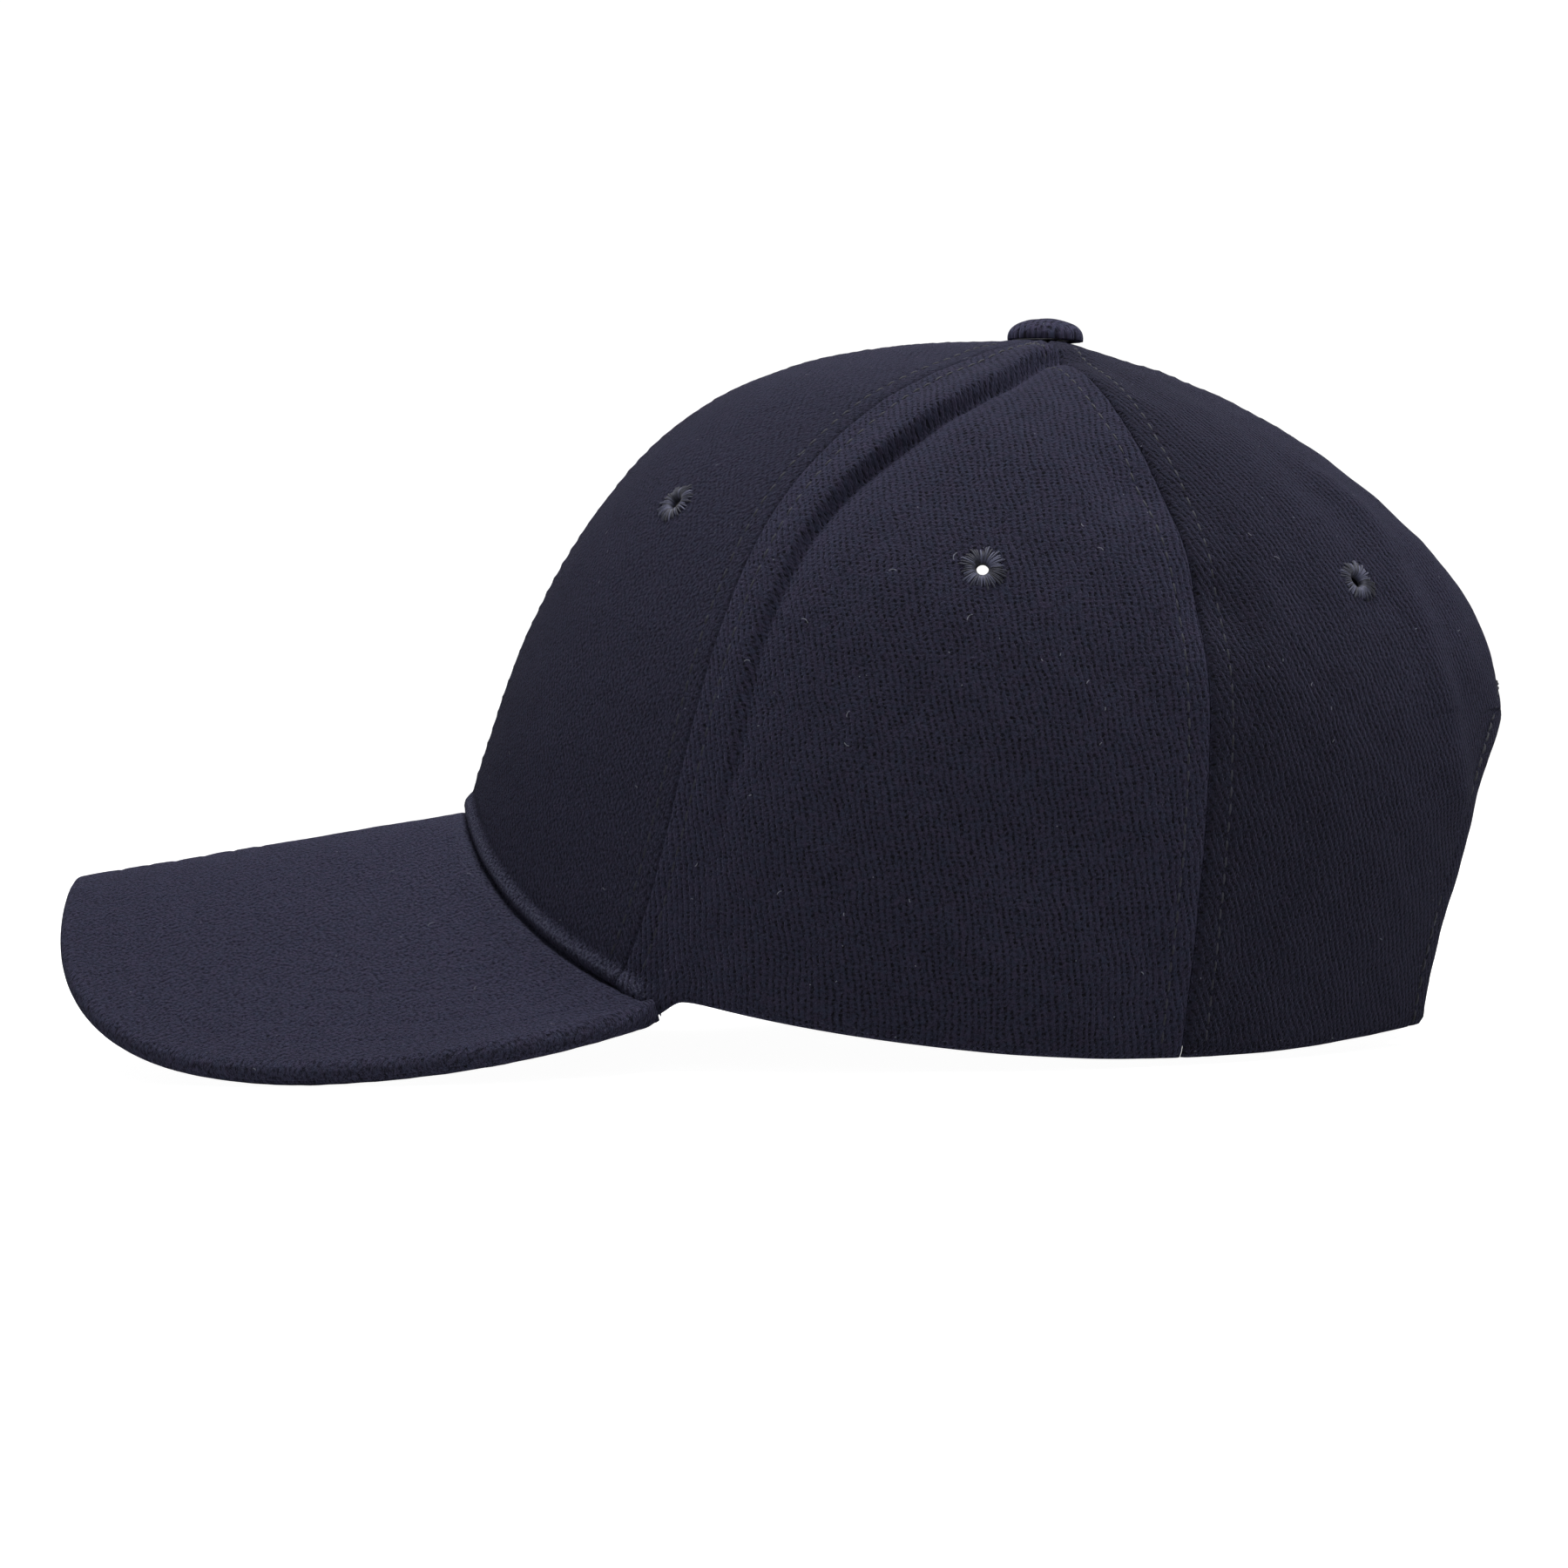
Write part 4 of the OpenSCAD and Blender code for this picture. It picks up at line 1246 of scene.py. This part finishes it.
def makeSweatband():
    cols, rows = 420, 26
    t = np.linspace(-insideForm["bandEnd"], insideForm["bandEnd"], cols)[None] * np.ones((rows, 1))
    z = np.linspace(1.5, insideForm["bandHigh"], rows)[:, None] * np.ones((1, cols))
    plain, _ = bandPoint(t, z, np.zeros_like(t))
    ease = 0.14 * wobble(plain, 34, 600) + 0.06 * wobble(plain, 9, 601)
    edge = -0.16 * bell(z - 27.2, 0.5) + 0.1 * bell(z - 28.8, 1.0) - 0.14 * bell(z - 4.5, 0.5)
    p, _ = bandPoint(t, z, ease + edge + 0.08)
    uv = np.stack([lengths(plain[0])[None] * np.ones((rows, 1)), z], -1)
    piece = newPiece("sweatband_cloth", placed(p).reshape(-1, 3), gridFaces(rows, cols), uv.reshape(-1, 2))
    thicken(piece, insideForm["bandThick"] - 0.1)
    finishPiece(piece, "cap", bandTwill, ["sweatband"])
    declareSheet(piece, (np.ptp(uv[..., 0]), insideForm["bandHigh"] - 1.5))
    lines = []
    for height in (4.5, 27.2):
        line = np.linspace(-insideForm["bandEnd"] + 1, insideForm["bandEnd"] - 1, 900)
        p, n = bandPoint(line, np.full_like(line, height), np.full_like(line, insideForm["bandThick"]))
        lines.append((placed(p), -turned(n)))
    stitchMesh("sweatband_stitches", lines, 0.18, 2.6, 1.0, navyThread, slot="sweatband_twill")


def makeFacing():
    edgeS = np.concatenate([archLineS, archLineS[::-1][1:]])
    edgeT = np.concatenate([archEdge(archLineS), 360 - archEdge(archLineS[::-1][1:])])
    edge = crownPoint(edgeT, edgeS)
    n = crownNormal(edgeT, edgeS)
    along = unit(np.gradient(edge, axis=0))
    outward = unit(np.cross(along, n))
    k = np.linspace(0, 1, 9)
    out = 0.3 + insideForm["facingWide"] * k
    p = edge[:, None] - outward[:, None] * out[None, :, None]
    p = p - n[:, None] * (1.55 + out**2 / 80)[None, :, None]
    uv = np.stack([out[None] * np.ones((len(edge), 1)), lengths(edge)[:, None] * np.ones((1, 9))], -1)
    faces = gridFaces(len(edge), 9)
    piece = newPiece("arch_facing_cloth", placed(p).reshape(-1, 3), faces, uv.reshape(-1, 2))
    thicken(piece, 0.5)
    finishPiece(piece, "cap", navyTape, ["arch_facing"])
    long = lengths(edge)[-1]
    declareSheet(piece, (10.0, long), long * insideForm["facingWide"] * mm * mm)


makeSweatband()
makeFacing()
print("sweatband and facing ready")


# the strap is upright on the cap's own axes, so it isn't tipped
strapForm = {
    "radius": 72.0, "z": 8.6, "wide": 20.0, "thick": 1.2, "lean": 9.0, "start": -47.0, "stop": 43.0,
    "rear": 128.4, "buckleTurn": 20.0, "barX": 1.5, "barY": 4.9, "barRadius": 0.6, "tabThick": 0.5,
}
strapX = seat[0] + strapForm["rear"] - strapForm["radius"]


def strapPoint(angle, height, depth):
    # a point of the strap, upright on the cap's own axes, depth below its outer face
    f = strapForm
    angle, height, depth = np.broadcast_arrays(angle, height, depth)
    r = f["radius"] + height * math.tan(math.radians(f["lean"])) - depth
    a = np.radians(angle)
    return np.stack([strapX + r * np.cos(a), r * np.sin(a), f["z"] + height], -1)


def makeStrap():
    f = strapForm
    cols, ring = 220, []
    # the section runs round the strap: up the outer face, down the inner face, with soft edges
    heights = np.linspace(0.5, f["wide"] - 0.5, 24)
    for h in heights:
        ring.append((h, 0.12 * bell(h - 2.2, 0.45) + 0.12 * bell(h - f["wide"] + 2.2, 0.45)))
    ring += [(f["wide"] - 0.1, f["thick"] * 0.25), (f["wide"] - 0.1, f["thick"] * 0.75)]
    for h in heights[::-1]:
        ring.append((h, f["thick"]))
    ring += [(0.1, f["thick"] * 0.75), (0.1, f["thick"] * 0.25)]
    ring = np.array(ring)
    angle = np.linspace(f["start"] + 0.3, f["stop"] - 0.3, cols)
    p = strapPoint(angle[:, None], ring[None, :, 0], ring[None, :, 1])
    run = np.radians(angle) * f["radius"]
    uv = np.stack([lengths(ring)[None] * np.ones((cols, 1)), run[:, None] * np.ones((1, len(ring)))], -1)
    faces = gridFaces(cols, len(ring), flip=True, wrap=True)
    faces.append(tuple(range(len(ring))))
    faces.append(tuple((cols - 1) * len(ring) + m for m in reversed(range(len(ring)))))
    piece = newPiece("strap_cloth", p.reshape(-1, 3) * mm, faces, uv.reshape(-1, 2))
    finishPiece(piece, "strap", strapTwill, ["strap"])
    long = math.radians(f["stop"] - f["start"]) * f["radius"]
    declareSheet(piece, (f["wide"], long))
    lines = []
    for height in (2.2, f["wide"] - 2.2):
        line = np.linspace(f["start"] + 1, f["stop"] - 1, 400)
        points = strapPoint(line, np.full_like(line, height), np.full_like(line, 0.12)) * mm
        turn = np.radians(line)
        fall = np.full_like(line, -math.tan(math.radians(f["lean"])))
        lines.append((points, unit(np.stack([np.cos(turn), np.sin(turn), fall], -1))))
    stitchMesh("strap_stitches", lines, 0.18, 2.4, 0.8, navyThread, body="strap")


def buckleMatrix():
    f = strapForm
    place = Matrix.Translation(Vector((strapX, 0, f["z"])) * mm)
    out = Matrix.Translation(Vector((f["radius"], 0, 0)) * mm)
    return place @ Matrix.Rotation(math.radians(f["buckleTurn"]), 4, "Z") @ out @ Matrix.Rotation(
        math.radians(f["lean"]), 4, "Y")


def makeTab():
    # a strip of cloth from inside the arch's corner, round the bar and flat on itself
    f = strapForm
    r = f["barRadius"] + 0.08
    turns = np.radians(np.linspace(-92, 245, 40))
    inner, outer = [[(f["barX"] + wide * math.cos(a), f["barY"] + wide * math.sin(a)) for a in turns]
                    for wide in (r, r + f["tabThick"])]
    slant = math.radians(7)
    tail = []
    for side in (0, 1):
        x0 = f["barX"] + f["barRadius"] + 0.05 + side * f["tabThick"]
        tail.append([(x0 - math.sin(slant) * y, f["barY"] + math.cos(slant) * y)
                     for y in np.linspace(0.2, 12.6, 26)])
    heights = np.linspace(1.7, f["wide"] - 1.7, 16)
    verts, faces, uvs = [], [], []
    for a, b in ((outer, inner), (tail[1], tail[0])):
        base = len(verts)
        path = a + b[::-1]
        count = len(path)
        run = lengths(np.array([(x, y, 0) for x, y in path]))
        for h in heights:
            for k, (x, y) in enumerate(path):
                verts.append((x, y, h))
                uvs.append((run[k], h))
        for quad in gridFaces(len(heights), count, wrap=True):
            faces.append(tuple(base + corner for corner in quad))
        faces.append(tuple(base + k for k in reversed(range(count))))
        faces.append(tuple(base + (len(heights) - 1) * count + k for k in range(count)))
    piece = newPiece("strap_tab_cloth", np.array(verts) * mm, faces, np.array(uvs))
    piece.data.transform(buckleMatrix())
    bpy.ops.object.select_all(action="DESELECT")
    bpy.context.view_layer.objects.active = piece
    piece.select_set(True)
    bpy.ops.object.mode_set(mode="EDIT")
    bpy.ops.mesh.select_all(action="SELECT")
    bpy.ops.mesh.normals_make_consistent(inside=False)
    bpy.ops.object.mode_set(mode="OBJECT")
    piece.select_set(False)
    finishPiece(piece, "cap", strapTwill, ["strap_tab"])
    declareSheet(piece, (f["wide"] - 3.4, 17.0))


makeStrap()
makeTab()
for node, material in {"buckle_frame": brass, "hinge_pin": brass, "buckle_lever": brass, "tab_bar": brass,
                       "button_shell": steel, "button_prong": steel, "button_washer": steel}.items():
    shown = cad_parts[node]
    shown.data.materials.clear()
    shown.data.materials.append(material)
print("strap and buckle ready")
for row in sheets:
    print("sheet", *row)


studio = {
    "away": 950.0, "eyeHeight": 69.7, "viewWide": 315.0, "sensor": 36.0, "drop": 1 / 18,
    "skySeen": 1.05, "skyLight": 0.13, "floorGlow": 0.97, "floorZ": -0.0016,
    # name: (place, size, watts)
    "lamps": {"overhead": ((0.1, -0.16, 1.1), 0.8, 15.5), "front": ((-0.1, -1.4, 0.55), 1.0, 1.6),
              "behind": ((0.1, 1.2, 0.9), 1.0, 2.0)},
}


def makeFloor():
    bpy.ops.mesh.primitive_plane_add(size=12, location=(0, 0, studio["floorZ"]))
    floor = bpy.context.object
    floor.name = "studioFloor"
    material, tree, shader = newMaterial("studioFloor", {
        "Roughness": 0.9, "Base Color": (0.55, 0.55, 0.56, 1), "Emission Color": (1, 1, 1, 1)})
    seen = tree.nodes.new("ShaderNodeLightPath").outputs["Is Camera Ray"]
    feed(tree, shader, "Emission Strength", mathNode(tree, "MULTIPLY", seen, studio["floorGlow"]))
    floor.data.materials.append(material)


def makeStudio():
    world = bpy.data.worlds.new("studioSky")
    bpy.context.scene.world = world
    world.use_nodes = True
    tree = world.node_tree
    sky = tree.nodes["Background"]
    sky.inputs["Color"].default_value = (1, 1, 1, 1)
    seen = tree.nodes.new("ShaderNodeLightPath").outputs["Is Camera Ray"]
    feed(tree, sky, "Strength", mathNode(tree, "MULTIPLY_ADD", seen, studio["skySeen"] - studio["skyLight"],
                                         studio["skyLight"]))
    for name, (place, size, power) in studio["lamps"].items():
        light = bpy.data.lights.new(name, "AREA")
        light.size = size
        light.energy = power
        lamp = bpy.data.objects.new(name, light)
        bpy.context.scene.collection.objects.link(lamp)
        lamp.location = place
        lamp.rotation_euler = (Vector((0, 0, 0.07)) - Vector(place)).to_track_quat("-Z", "Y").to_euler()


def makeCamera():
    camera = bpy.data.cameras.new("camera")
    camera.sensor_width = studio["sensor"]
    camera.lens = studio["sensor"] * studio["away"] / studio["viewWide"]
    camera.shift_y = -studio["drop"]
    camera.clip_start = 0.01
    eye = bpy.data.objects.new("camera", camera)
    bpy.context.scene.collection.objects.link(eye)
    before = Matrix.Translation(Vector((0, -studio["away"], studio["eyeHeight"])) * mm)
    eye.matrix_world = seatMatrix @ before @ Matrix.Rotation(math.pi / 2, 4, "X")
    bpy.context.scene.camera = eye
    bpy.context.scene.view_settings.view_transform = "Standard"


makeFloor()
makeStudio()
makeCamera()
print("studio ready")
